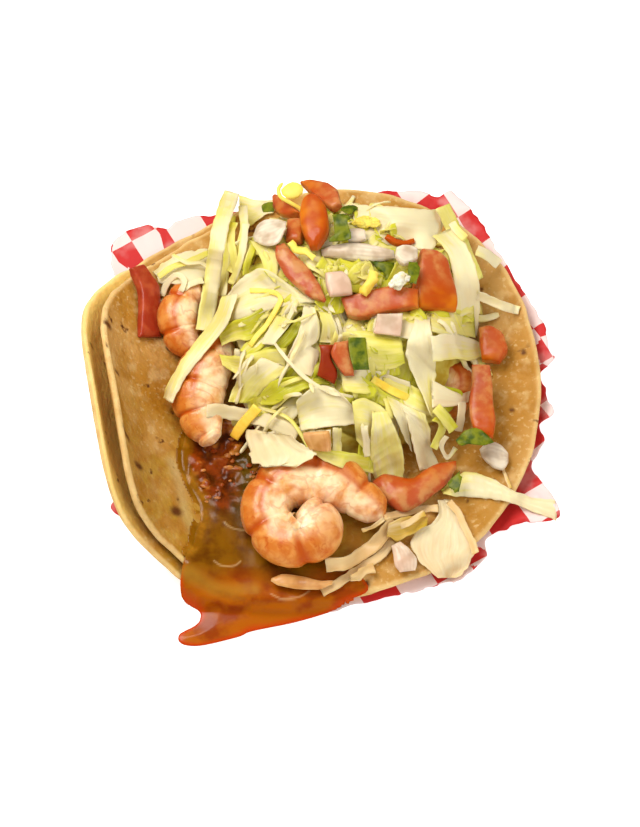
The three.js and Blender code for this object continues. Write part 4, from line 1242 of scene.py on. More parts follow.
# ---- shrimp
@dataclass
class Shrimp:
    """A peeled shrimp along a spine of frame points [column, row, rise, half width], from tail to head.

    Inner is 1 or -1 for the side on which its curl is hollow, flat its height as a share of its width, and
    line_at the place of the orange side line across it, from -1 to 1.
    """

    name: str
    spine: tuple[tuple[float, float, float, float], ...]
    segments: float
    inner: float
    seed: int
    flat: float = 0.84
    groove_width: float = 0.075
    groove_depth: float = 0.085
    line_at: float = 0.18
    line_width: float = 0.13
    head_from: float = 0.80
    steps: int = 220
    sides: int = 72

    def surface(self) -> Surface:
        """A tube that swells between the grooves of its segments, most on the inside of the curl.

        Returns:
            The surface, with an orange value along the line between back and belly and in the grooves,
            and a pale value on the back and towards the head's end.
        """
        t = np.linspace(0, 1, self.steps)
        line = curve(np.array(self.spine), t)
        x, y = SIGHT.plan(line[:, 0], line[:, 1], line[:, 2])
        centre, half = np.stack([x, y, line[:, 2]], -1), line[:, 3] * SIGHT.scale
        phase = t * self.segments
        saw = phase - np.floor(phase)
        gap = np.minimum(saw, 1 - saw)
        end = np.minimum(1, np.sqrt(np.clip(np.minimum(t * 20, (1 - t) * 16), 0.02, 1)))
        a = np.linspace(0, 2 * np.pi, self.sides, endpoint=False)
        side = np.cos(a)[None] * self.inner
        belly = smooth(side / 0.9 + 0.35)
        lap = np.mod(saw + 0.12 * side.ravel()[None, :].repeat(self.steps, 0).mean(), 1.0)
        groove = np.exp(-(gap / self.groove_width) ** 2)[:, None] * (0.35 + 0.9 * belly)
        swell = 1 - self.groove_depth * groove + 0.06 * np.sin(np.pi * lap)[:, None] * (0.4 + belly)
        swell = swell + 0.025 * (1 - saw)[:, None] * (1 - belly)
        crease = np.exp(-((side - self.line_at) / self.line_width) ** 2)
        crease = crease * np.clip(np.sin(np.pi * np.minimum(1, t * 1.4)), 0, 1)[:, None]
        size = (half * end)[:, None]
        plan = [centre[:, None, k] + 0 * a for k in (0, 1)]
        flat = np.stack([*plan, a[None] * 6 + 0 * size], -1)
        skin = 1 + 0.045 * noise(flat, 6, self.seed) + 0.022 * noise(flat, 2.2, self.seed + 1)
        skin = skin + 0.012 * noise(flat, 1.0, self.seed + 6)
        shape = size * skin * swell * (1 - 0.05 * crease)
        upward = np.sign(np.sin(a)) * np.abs(np.sin(a))[None] ** 0.9
        section = np.stack([np.cos(a)[None] * shape, upward * shape * self.flat], -1)
        mottle = 0.5 + 0.5 * noise(flat, 7, self.seed + 2)
        blush = 0.95 * crease * (0.55 + 0.45 * mottle) + 0.8 * groove * belly + 0.5 * belly * mottle
        blush = blush + 0.35 * smooth((mottle - 0.72) / 0.2)
        head = smooth((t - self.head_from) / 0.1)[:, None]
        blush = np.clip(blush * (1 - 0.75 * head), 0, 1)
        pale = np.clip(0.9 * (1 - belly) + 0.75 * head, 0, 1)
        return sweep(centre, np.array([0.0, 0.0, 1.0]), section, blush=blush, pale=pale)

    def build(self, finish: Material) -> Surface:
        """Makes the piece at its solid's own height and returns its surface."""
        made = self.surface()
        low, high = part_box(self.name)
        aim = (low[2] + high[2]) / 2 / MM
        middle = (made.points[:, 2].min() + made.points[:, 2].max()) / 2
        made = made.moved(by=np.array([0, 0, aim - middle]))
        make_piece(f"{self.name}_peeled", made, finish, (self.name,))
        return made


def settle_on_node(surface: Surface, node: str) -> Surface:
    """Shifts a surface so that the middle of its box is that of a solid's box."""
    aim = middle_of(*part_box(node))
    return surface.moved(by=aim - (surface.points.min(0) + surface.points.max(0)) / 2)


SHRIMP = (
    Shrimp("shrimp_front", (
        (384, 525, 9, 9), (371, 514, 9.5, 17), (354, 501, 10, 22), (332, 488, 10, 27),
        (306, 484, 10, 28), (282, 492, 9.5, 27), (268, 509, 9.5, 24), (268, 528, 9.5, 24),
        (280, 543, 10, 25), (299, 546, 11, 28), (313, 536, 12.5, 28), (306, 524, 13.5, 24),
        (297, 519, 13.5, 13),
    ), 6.6, 1, 101),
    Shrimp("shrimp_middle", (
        (236, 352, 15, 12), (219, 356, 15, 20), (205, 374, 15, 25), (199, 396, 14, 26),
        (201, 418, 13, 22), (208, 436, 13, 15), (214, 446, 13, 8),
    ), 4.6, 1, 102),
    Shrimp("shrimp_back", (
        (203, 288, 16, 11), (187, 294, 16, 17), (178, 312, 16, 20), (181, 333, 15, 18),
        (191, 347, 15, 12), (198, 353, 15, 7),
    ), 3.6, 1, 103),
    Shrimp("shrimp_right", (
        (425, 360, 18, 9), (444, 360, 18, 14), (457, 374, 18, 16), (455, 392, 18, 15),
        (444, 404, 18, 10), (436, 407, 18, 6),
    ), 3.6, -1, 104),
)


# ---- forms of the toppings
def pebble(length: float, width: float, thick: float, seed: int) -> Surface:
    """An uneven pebble: a ball on rings of latitude, its radius changed by noise."""
    v = np.linspace(0, np.pi, 9)[1:-1]
    u = np.linspace(0, 2 * np.pi, 12, endpoint=False)
    v, u = np.meshgrid(v, u, indexing="ij")
    ball = np.stack([np.sin(v) * np.cos(u), np.sin(v) * np.sin(u), np.cos(v)], -1)
    r = 1 + 0.35 * noise(ball, 0.8, seed)
    size = np.array([length, width, thick])
    return rings(ball * r[..., None] * size, np.array([0, 0, 1.0]) * size, np.array([0, 0, -1.0]) * size)


class Edge(Enum):
    """How sharp a cut piece's edges are: the power of its rounded section, 1 for an ellipse."""

    CRISP = 0.28
    SOFT = 0.5
    ROUND = 0.85


def face_count(length: float, step: float, least: int, most: int) -> int:
    """How many steps a length takes, within limits."""
    return int(np.clip(length / step, least, most))


def between(left: Array, right: Array, s: Array, u: Array) -> Array:
    """Frame points between two edges: shares s along the curve of each, and u from -1 to 1 across."""
    left, right = curve(left, s), curve(right, s)
    share = (u[None, :, None] + 1) / 2
    return left[:, None] * (1 - share) + right[:, None] * share


def beside(points: Points, width: float) -> tuple[Points, Points]:
    """Two edges that lie half the width to either side of a line of frame points."""
    line = np.array(points, float)
    along = unit(np.gradient(line, axis=0))
    side = np.stack([-along[:, 1], along[:, 0]], -1) * width / 2
    return tuple(map(tuple, line + side)), tuple(map(tuple, line - side))


@dataclass(frozen=True)
class Slab:
    """A cut piece between two edges of frame points (column, row), lying on its own solid's place.

    Its plane goes through the middle of the solid's box, raised by rise, and leans by the share lay
    of the heap's slope there and by lean. Crown is how much its middle bulges, and fray and crinkle how
    uneven its edges and faces are. Skin is its skin value in the middle and its change along and across.
    """

    name: str
    left: Points
    right: Points
    thick: float
    edge: Edge = Edge.SOFT
    lay: float = 0.8
    lean: tuple[float, float] = (0.0, 0.0)
    rise: float = 0.0
    crown: float = 0.0
    crinkle: float = 0.25
    fray: float = 0.4
    skin: tuple[float, float, float] = (0.0, 0.0, 0.0)
    look: str = ""
    seed: int = 1

    def surface(self) -> Surface:
        """The piece: its edges' points are carried to the plane, and a rounded section is set across.

        Returns:
            The surface. Its skin value runs evenly along and across, and its vein value along its length.
        """
        centre = middle_of(*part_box(self.name)) + [0, 0, self.rise]
        up = heap_up(float(centre[0]), float(centre[1]), self.lay)
        slope = float(np.clip(-up.x / up.z + self.lean[0], -1, 1)), max(-up.y / up.z + self.lean[1], -0.45)
        left, right = np.array(self.left, float), np.array(self.right, float)
        long = max(np.linalg.norm(np.diff(e, axis=0), axis=1).sum() for e in (left, right)) * SIGHT.scale
        wide = np.linalg.norm(left[len(left) // 2] - right[len(right) // 2]) * SIGHT.scale
        n, m = face_count(long, 0.4, 20, 64), face_count(wide, 0.35, 14, 40)
        power = self.edge.value
        turn = np.pi * (np.arange(n) + 0.5) / n
        s = 0.5 - 0.5 * np.sign(np.cos(turn)) * np.abs(np.cos(turn)) ** power
        end = np.sin(turn) ** power
        a = 2 * np.pi * (np.arange(2 * m) + 0.5) / (2 * m)
        u, h = (np.sign(v) * np.abs(v) ** power for v in (np.cos(a), np.sin(a)))
        frame = between(left, right, s, u)
        frame = frame + self.fray * np.abs(u[None, :, None]) ** 4 * drift(frame, 6, self.seed)
        normal = unit(np.array([-slope[0], -slope[1], 1.0]))
        flat = np.stack(np.broadcast_arrays(s[:, None] * long, u[None] * wide / 2), -1)
        bulge = self.crown * (1 - u[None] ** 2) * np.sin(np.pi * s)[:, None]
        lumps = self.crinkle * (noise(flat, 3.2, self.seed + 2) + 0.5 * noise(flat, 1.5, self.seed + 3))
        height = self.thick / 2 * h[None] * end[:, None] + bulge + lumps
        points = SIGHT.on_plane(frame[..., 0], frame[..., 1], centre, slope) + normal * height[..., None]
        middle, along, across = self.skin
        skin = (middle + along * (2 * s[:, None] - 1) + across * u[None]
                + 0.22 * noise(flat, 4, self.seed + 4))
        lines = np.clip(np.cos(u[None] * wide * 2.4 + 1.2 * noise(flat, 7, self.seed + 5)), 0, 1) ** 3
        return rings(points, points[0].mean(0), points[-1].mean(0), skin=np.clip(skin, 0, 1), vein=lines)


def strand(name: str, points: Points, width: float, thick: float, **rest: object) -> Slab:
    """A slab of one width along a line of frame points."""
    return Slab(name, *beside(points, width), thick, **rest)


SLABS = (
    Slab("tomato_wall", ((129, 268), (135, 280), (139, 295), (139, 315), (138, 337)),
         ((142, 264), (149, 275), (156, 287), (159, 310), (159, 337)), 4.0, lay=0, lean=(-0.75, 0),
         look="tomato_dark", seed=3),
    Slab("tomato_right", ((479, 329), (480, 345), (482, 361)),
         ((490, 326), (503, 334), (508, 350), (500, 363)), 5.5, lay=0.3, skin=(0.55, 0.3, 0), seed=5),
    Slab("tomato_rim", ((472, 365), (471, 385), (469, 405), (470, 420), (474, 432)),
         ((490, 366), (492, 385), (493, 405), (495, 422), (492, 438)), 4.5, lay=0, skin=(0.3, 0.65, 0.1),
         seed=2),
    Slab("tomato_front",
         ((369, 485), (380, 476), (392, 475), (411, 479), (425, 470), (440, 463), (456, 461)),
         ((370, 489), (381, 496), (392, 507), (404, 511), (419, 505), (433, 494), (446, 484),
          (456, 468)), 5.0, edge=Edge.ROUND, lay=0.6, skin=(0.35, 0.2, -0.5), crown=0.8, seed=4),
    Slab("tomato_gap", ((319, 345), (321, 358), (317, 376)),
         ((334, 345), (331, 358), (337, 372), (335, 385)), 4.5, lay=0.9, skin=(0.95, 0, 0),
         look="tomato_dark", seed=21),
    Slab("tomato_pale", ((334, 343), (331, 355), (338, 368), (344, 376)),
         ((348, 341), (350, 355), (353, 368), (354, 376)), 4.0, lay=0.9, skin=(0.1, 0, 0), seed=22),
    Slab("tomato_far", ((300, 182), (314, 181), (328, 184), (338, 190)),
         ((312, 194), (322, 202), (332, 209), (342, 205)), 4.5, lay=0.7, skin=(0.5, -0.5, 0), seed=31),
    Slab("tomato_crest", ((275, 197), (281, 196), (292, 203)), ((276, 213), (288, 217), (300, 213)), 5.0,
         lay=0.7, skin=(0.35, 0.2, 0.3), seed=32),
    Slab("tomato_under", ((288, 220), (287, 232), (286, 243)), ((302, 220), (304, 232), (301, 243)), 4.5,
         lay=0.8, skin=(0.45, 0.2, 0), seed=33),
    Slab("tomato_wedge", ((310, 196), (303, 203), (300, 216), (302, 231), (310, 249)),
         ((313, 196), (324, 205), (329, 220), (327, 236), (317, 249)), 6.5, edge=Edge.SOFT, lay=0.7,
         rise=-3.0, skin=(0.95, 0.15, 0.1), crown=0.5, seed=36),
    Slab("tomato_long", ((276, 246), (276, 258), (284, 274), (296, 287), (310, 298), (324, 303)),
         ((284, 243), (296, 256), (308, 268), (318, 282), (323, 292), (326, 301)), 4.0, edge=Edge.ROUND,
         lay=0.9, skin=(-0.05, 0, 0), seed=35),
    Slab("tomato_block", ((341, 300), (360, 295), (380, 290), (395, 288), (418, 291)),
         ((347, 317), (360, 319), (380, 316), (395, 312), (418, 309)), 5.5, edge=Edge.CRISP, lay=0.8,
         skin=(0.25, 0.45, 0), rise=1.2, seed=42),
    Slab("tomato_side", ((421, 250), (417, 265), (415, 281), (412, 293), (418, 309)),
         ((434, 252), (445, 262), (450, 280), (455, 296), (455, 312)), 6.5, edge=Edge.SOFT, lay=0.8,
         skin=(0.55, 0.55, 0.1), crown=0.8, seed=41),
    strand("tomato_skin", ((386, 236), (394, 242), (404, 244), (414, 241)), 5.0, 2.0, lay=0.9,
           skin=(1.0, 0, 0), seed=43),
    Slab("onion_right", ((479, 449), (489, 442), (500, 445), (508, 453)),
         ((482, 458), (492, 467), (502, 470), (508, 463)), 4.0, lay=0, edge=Edge.ROUND, crown=0.4,
         rise=-2.5, seed=8),
    Slab("onion_near", ((391, 545), (393, 553), (394, 563), (399, 571)),
         ((400, 541), (410, 549), (416, 558), (415, 569)), 3.5, lay=0, edge=Edge.ROUND, crinkle=0.4,
         fray=0.8, skin=(0.5, 0, 0), rise=-3.0, seed=12),
    Slab("onion_crescent", ((271, 580), (281, 585), (300, 588), (318, 588), (332, 583)),
         ((272, 577), (284, 573), (302, 575), (318, 579), (333, 579)), 2.0, lay=0, edge=Edge.ROUND,
         look="onion_tan", seed=5),
    Slab("onion_gap", ((303, 433), (306, 442), (311, 450)), ((329, 431), (331, 440), (331, 450)), 2.5,
         lay=0.8, look="onion_tan", seed=2),
    Slab("onion_left", ((253, 236), (260, 224), (272, 219), (286, 222)),
         ((254, 241), (266, 246), (278, 243), (286, 229)), 2.4, lay=0.9, edge=Edge.ROUND, seed=34),
    Slab("onion_cube", ((325, 274), (326, 285), (330, 297)), ((342, 272), (350, 282), (352, 295)), 4.5,
         lay=0.9, skin=(0.6, 0, 0), seed=43),
    Slab("onion_sliver", ((321, 250), (335, 245), (352, 243), (372, 245), (394, 251)),
         ((322, 257), (336, 259), (354, 262), (374, 263), (395, 259)), 3.0, lay=0.8, edge=Edge.ROUND,
         crown=0.8, seed=44),
    Slab("onion_far", ((346, 232), (354, 229), (365, 231)), ((347, 241), (356, 243), (366, 240)), 2.8,
         lay=0.9, seed=45),
    Slab("onion_pale", ((396, 248), (406, 246), (417, 249)), ((395, 258), (403, 266), (417, 260)), 3.2,
         lay=0.8, rise=-2.3, seed=46),
    Slab("onion_low", ((377, 315), (375, 325), (373, 334)), ((402, 314), (402, 325), (400, 337)), 3.5,
         lay=0.9, edge=Edge.CRISP, skin=(0.5, 0.2, 0), seed=47),
    Slab("cilantro_big", ((348, 338), (349, 352), (353, 370)), ((365, 338), (367, 352), (369, 370)), 0.7,
         lay=0.9, rise=-1.2, crinkle=0.35, seed=3),
    Slab("cilantro_crest", ((333, 216), (335, 228), (331, 243)), ((347, 214), (350, 228), (348, 241)),
         0.6, lay=0.8, rise=-3.3, crinkle=0.9, fray=3.5, seed=4),
    Slab("cilantro_left", ((262, 204), (264, 212)), ((273, 201), (273, 211)), 0.6, lay=0.9, rise=-3.6,
         crinkle=0.5, fray=1.5, seed=5),
    Slab("cilantro_far", ((342, 206), (343, 213), (350, 214)), ((360, 204), (356, 210), (352, 215)), 0.6,
         lay=0.9, rise=0.6, crinkle=0.8, fray=2.5, seed=6),
    Slab("cilantro_top", ((368, 262), (376, 268), (385, 274)), ((394, 262), (393, 270), (385, 282)), 0.6,
         lay=0.8, rise=0.6, crinkle=0.8, fray=2.2, seed=7),
    Slab("cilantro_side", ((409, 262), (408, 272), (409, 282)), ((418, 262), (419, 272), (416, 284)),
         0.6, lay=0.9, rise=-2.3, crinkle=0.6, fray=1.6, seed=8),
    Slab("cilantro_right", ((455, 440), (464, 431), (475, 428), (486, 434)),
         ((458, 445), (470, 445), (482, 446), (493, 442)), 0.8, lay=0, rise=0.5, crinkle=0.5, fray=1.0,
         seed=1),
    Slab("cilantro_front", ((449, 480), (451, 486), (455, 492)), ((458, 473), (462, 482), (459, 491)),
         0.6, lay=0, rise=0.8, crinkle=0.8, fray=3.0, seed=2),
    strand("cheese_left",
           ((250, 291), (264, 291), (277, 294), (281, 301), (275, 312), (266, 326), (256, 338),
            (250, 346)), 5.0, 0.8, lay=0.95, crinkle=0.15, edge=Edge.SOFT, seed=2),
    strand("cheese_top", ((291, 242), (296, 250), (305, 252), (314, 258)), 6.5, 1.5, lay=0.8,
           edge=Edge.ROUND, crinkle=0.5, fray=1.5, seed=3),
    strand("cheese_block", ((374, 272), (372, 281), (366, 290), (363, 296)), 10.0, 3.0, lay=0.6,
           rise=-0.8, edge=Edge.ROUND, crinkle=0.8, fray=2.0, crown=0.8, seed=10),
    strand("cheese_low", ((258, 407), (250, 416), (241, 427), (234, 438)), 10.0, 1.4, lay=0.4,
           skin=(0.35, 0.3, 0), edge=Edge.SOFT, crinkle=0.4, seed=4),
    strand("cheese_front", ((372, 379), (384, 386), (396, 393), (408, 398)), 8.0, 0.9, lay=0.9,
           edge=Edge.ROUND, seed=5),
)


class Form(Enum):
    """The basic shapes of the other loose pieces."""

    CRUMB = "crumb"
    CURL = "curl"


@dataclass(frozen=True)
class Clump:
    """A small heap of crumbs or a coin with a curl, on its own solid's place."""

    name: str
    form: Form
    length: float
    width: float
    thick: float
    yaw: float = 0.0
    lay: float = 0.7
    look: str = ""
    rise: float = 0.0
    seed: int = 1
    crumbs: int = 22
    curl_line: tuple[tuple[float, float, float], ...] = (
        (-3.2, 2.4, 0.6), (-4.6, 0, 0.4), (-3.8, -2.6, 0), (-1, -4.2, -0.6), (2.2, -6, -1.2),
        (4.4, -7.6, -1.8),
    )

    def crumb(self) -> Surface:
        """A clump of small uneven pebbles inside an oval."""
        draw = np.random.default_rng(self.seed + 30)
        made = [pebble(self.length * 0.28, self.width * 0.3, self.thick * 0.3, self.seed)]
        for _ in range(self.crumbs):
            p = draw.normal(0, 1, 3)
            p = p / np.linalg.norm(p) * [self.length * 0.33, self.width * 0.33, self.thick * 0.26]
            size = draw.uniform(0.09, 0.2, 3) * [self.length, self.width, self.thick * 1.3]
            made.append(pebble(*size, int(draw.integers(MOST_SEEDS))).moved(by=p))
        return joined(made)

    def curl(self) -> Surface:
        """A coin of cheese with a thin curl that trails from it: a flat pebble and a bent shred."""
        coin = pebble(self.length * 0.5, self.width * 0.52, self.thick * 0.3, 4)
        t = np.linspace(0, 1, 50)
        path = curve(np.array(self.curl_line), t)
        b = np.linspace(0, 2 * np.pi, 12, endpoint=False)
        thin = 0.65 * np.sqrt(np.clip(np.minimum(t, 1 - t) * 12, 0.05, 1))
        ring = np.stack([np.cos(b), np.sin(b)], -1)
        return joined([coin, sweep(path, np.array([0, 0, 1.0]), ring[None] * thin[:, None, None])])

    def surface(self) -> Surface:
        """The piece turned by its yaw and the heap's slope, on its solid's place."""
        made = {Form.CRUMB: self.crumb, Form.CURL: self.curl}[self.form]()
        centre = middle_of(*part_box(self.name))
        up = heap_up(float(centre[0]), float(centre[1]), self.lay)
        slope = Vector((0, 0, 1)).rotation_difference(up).to_matrix()
        own = Matrix.Rotation(math.radians(self.yaw), 3, "Z")
        made = settle_on_node(made.moved(turn=np.array(slope @ own)), self.name)
        return made.moved(by=np.array([0, 0, self.rise]))


CLUMPS = (
    Clump("cheese_curl", Form.CURL, 8, 7, 4, lay=0.0),
    Clump("cheese_far", Form.CRUMB, 10, 5.5, 3.5, seed=9),
    Clump("crumble_top", Form.CRUMB, 8.5, 6, 4, yaw=31, rise=-2.6, seed=11),
)


# ---- lettuce
START_HEIGHT = 28.0  # where a leaf's height is first looked for
STEEPEST = 0.95  # the most that a leaf falls between neighbouring points, about a radian


class Cut(Enum):
    """How a piece of lettuce was cut: its usual width, thickness and greenness."""

    THREAD = (1.3, 0.5, 0.05)
    RIB = (3.2, 1.1, 0.05)
    # the greener shreds and blades fill the gaps under the leaves: their lime is partly the lettuce's own
    # green, partly painted shade
    SHRED = (5.0, 0.7, 0.4)
    BLADE = (8.0, 0.5, 0.6)


def neighbours(z: Array) -> list[Array]:
    """The four neighbours of each height of a grid, with the rim repeated outwards."""
    p = np.pad(z, 1, mode="edge")
    return [p[:-2, 1:-1], p[2:, 1:-1], p[1:-1, :-2], p[1:-1, 2:]]


def eased(z: Array) -> Array:
    """Each height replaced by the mean of its four neighbours."""
    a, b, c, d = neighbours(z)
    return (a + b + c + d) / 4


def plate(top: Array, low: Array, **values: Array) -> Surface:
    """A closed sheet from its upper and lower points on one grid.

    Args:
        top: points of shape (n, m, 3).
        low: points of shape (n, m, 3).
        values: for each name the values on the grid, shape (n, m).

    Returns:
        The surface: each row runs over the top and back below, so the two long edges are thin walls.
    """
    grid = np.concatenate([top, low[:, ::-1]], axis=1)
    both = {k: np.concatenate([v, v[:, ::-1]], axis=1) for k, v in values.items()}
    return rings(grid, grid[0].mean(0), grid[-1].mean(0), **both)


@dataclass(frozen=True)
class Leaf:
    """A flat piece of lettuce between two edges of frame points (column, row), laid over what is below it.

    Lift is how far it lies above that, ribs and pleat are the heights of its waves across and along, and
    stiff says how often it is drawn straight. Tint goes from beige at -1 to green at 1, and changes by
    fade from the middle to an end, or by a value from its seed where fade is 0.
    """

    left: Points
    right: Points
    tint: float = 0.15
    lift: float = 0.3
    ruffle: float = 0.6
    thick: float = 0.55
    ribs: float = 0.0
    pleat: float = 0.0
    fade: float = 0.0
    stiff: int = 16
    fray: float = 0.7
    seed: int = 1

    def outline(self) -> tuple[Array, Array, Array, float, float]:
        """The sheet's frame points, its shares along and across, its length and its width in millimetres."""
        left, right = np.array(self.left, float), np.array(self.right, float)
        opposite = right[np.linspace(0, len(right) - 1, len(left)).round().astype(int)]
        long = np.linalg.norm(np.diff(left, axis=0), axis=1).sum() * SIGHT.scale
        wide = np.linalg.norm(left - opposite, axis=1).max() * SIGHT.scale
        n, m = face_count(long, 0.65, 16, 76), face_count(wide, 0.6, 8, 36)
        s, u = np.linspace(0, 1, n), np.linspace(-1, 1, m)
        frame = between(left, right, s, u)
        edge = np.maximum(np.abs(u)[None] ** 6, np.abs(2 * s - 1)[:, None] ** 20)[..., None]
        return frame + self.fray * edge * drift(frame, 5, self.seed), s, u, long, wide

    def rest(self, frame: Array, ground: Ground, ceiling: Ceiling, under: float | Array) -> Array:
        """Heights at which the sheet comes to rest.

        Args:
            frame: the sheet's frame points.
            ground: what it lies on.
            ceiling: what it stays below.
            under: how far below, for each point.

        Returns:
            The ground's heights, held up between high points by repeated means of the neighbours, and
            falling by no more than STEEPEST from one point to the next.
        """
        z = np.full(frame.shape[:2], START_HEIGHT)
        for _ in range(8):
            x, y = SIGHT.plan(frame[..., 0], frame[..., 1], z)
            floor = ground.at(x, y) + self.lift
            rest = floor
            for _ in range(self.stiff):
                rest = np.maximum(floor, eased(rest))
            for _ in range(12):
                rest = np.maximum(rest, np.maximum.reduce(neighbours(rest)) - STEEPEST)
            rest = np.minimum(eased(rest), ceiling.at(x, y) - under)
            for _ in range(5):
                rest = eased(rest)
            z = eased(0.4 * z + 0.6 * rest)
        return z

    def surface(self, ground: Ground, ceiling: Ceiling, under: float | Array = 0.7) -> Surface:
        """The sheet at rest, with ruffled edges, ribs across, pleats along and a slight cup.

        Args:
            ground: what it lies on.
            ceiling: what it stays below.
            under: how far below, for each point.

        Returns:
            The surface with its tint and vein values, and its own across and along in millimetres.
        """
        frame, s, u, long, wide = self.outline()
        z = self.rest(frame, ground, ceiling, under)
        flat = np.stack(np.broadcast_arrays(s[:, None] * long, u[None] * wide / 2), -1)
        ruffle = self.ruffle * (0.35 + np.abs(u[None]) ** 2) * (0.5 + 0.5 * noise(flat, 6.5, self.seed + 2))
        ribs = np.sin(s[:, None] * long * 1.9 + 0.6 * noise(flat, 5, self.seed + 4))
        z = z + ruffle + 0.15 * noise(flat, 2.4, self.seed + 3)
        z = z + self.ribs * ribs
        z = z + self.pleat * np.sin(flat[..., 1] * 1.1 + 1.5 * noise(flat * [0.4, 1], 7, self.seed + 7))
        z = z + 0.05 * wide * math.sin(self.seed * 2.3) * (u[None] ** 2 - 0.4)
        x, y = SIGHT.plan(frame[..., 0], frame[..., 1], z)
        half = self.thick / 2 * (1 - 0.5 * np.abs(u[None]) ** 4) + 0 * z
        tint = self.tint + 0.12 * noise(flat, 9, self.seed + 5) + 0.16 * u[None] * math.sin(self.seed * 1.7)
        tint = tint + (self.fade or 0.22 * math.sin(self.seed * 5.1)) * (2 * s[:, None] - 1)
        across = np.clip(np.cos(u[None] * wide * 2.1 + 0.8 * noise(flat, 8, self.seed + 6)), 0, 1) ** 4
        vein = across * 0.6 + np.clip(ribs, 0, 1) ** 2 * (1.0 if self.ribs else 0.0)
        return plate(
            np.stack([x, y, z + half], -1), np.stack([x, y, z - half], -1), tint=tint, vein=vein,
            across=flat[..., 1] + self.seed * 31.7, along=flat[..., 0],
        )


def ribbon(points: Points, width: float, **rest: object) -> Leaf:
    """A leaf of one width along a line of frame points."""
    return Leaf(*beside(points, width), **rest)


@dataclass
class Strip:
    """One loose strip of lettuce: points along its middle, and its cut."""

    points: Array
    width: float
    cut: Cut
    seed: int
    tint: float
    up: Array | None = None
    ruffle: float = 0.4
    twist: float = 0.0

    def surface(self) -> Surface:
        """A thin flat solid whose edges ruffle, with clean cut ends.

        Returns:
            The surface with its tint and vein values.
        """
        n, m = 28, 8
        t = np.linspace(0, 1, n)
        line = curve(self.points, t)
        draw = np.random.default_rng(self.seed)
        s = t * np.linalg.norm(np.diff(line, axis=0), axis=1).sum()
        u = np.linspace(1, -1, m)
        along = unit(np.gradient(line, axis=0))
        up = np.tile([0.0, 0.0, 1.0], (n, 1)) if self.up is None else curve(self.up, t)
        side = unit(np.cross(along, up))
        over = np.cross(side, along)
        roll = self.twist * (t - 0.5) + 0.18 * np.sin(draw.uniform(2, 5) * t + draw.uniform(0, 6))
        c, d = np.cos(roll)[:, None], np.sin(roll)[:, None]
        side, over = side * c + over * d, over * c - side * d
        flat = np.stack(np.broadcast_arrays(s[:, None], u[None] * self.width / 2), -1)
        end = np.clip(np.minimum(t, 1 - t) * draw.uniform(8, 30), 0.25, 1) ** 0.5
        w = self.width / 2 * end * (1 + 0.18 * noise(np.stack([s, s * 0], -1), 9, self.seed))
        edge = 1 + 0.06 * noise(flat, 2.0, self.seed + 1)
        cup = draw.uniform(-0.10, 0.14) * self.width
        height = cup * (u[None] ** 2 - 0.4) + 0.2 * noise(flat, 2.6, self.seed + 2)
        phase = s[:, None] * draw.uniform(0.4, 0.8) + np.sign(u[None]) * 1.7 + draw.uniform(0, 6)
        height = height + self.ruffle * np.abs(u[None]) ** 1.5 * np.sin(phase)
        half = self.cut.value[1] / 2 * (1 - 0.5 * np.abs(u[None]) ** 3) + 0 * height
        spot = line[:, None] + side[:, None] * (u[None] * w[:, None] * edge)[..., None]
        tint = self.tint + 0.16 * noise(flat, 9, self.seed + 3)
        vein = np.clip(np.cos(u[None] * self.width * 1.9 + 0.8 * noise(flat, 8, self.seed + 4)), 0, 1) ** 4
        faces = (spot + over[:, None] * (height + way)[..., None] for way in (half, -half))
        return plate(*faces, tint=tint, vein=0.6 * vein, across=flat[..., 1] + self.seed % 97 * 31.7,
                     along=flat[..., 0])


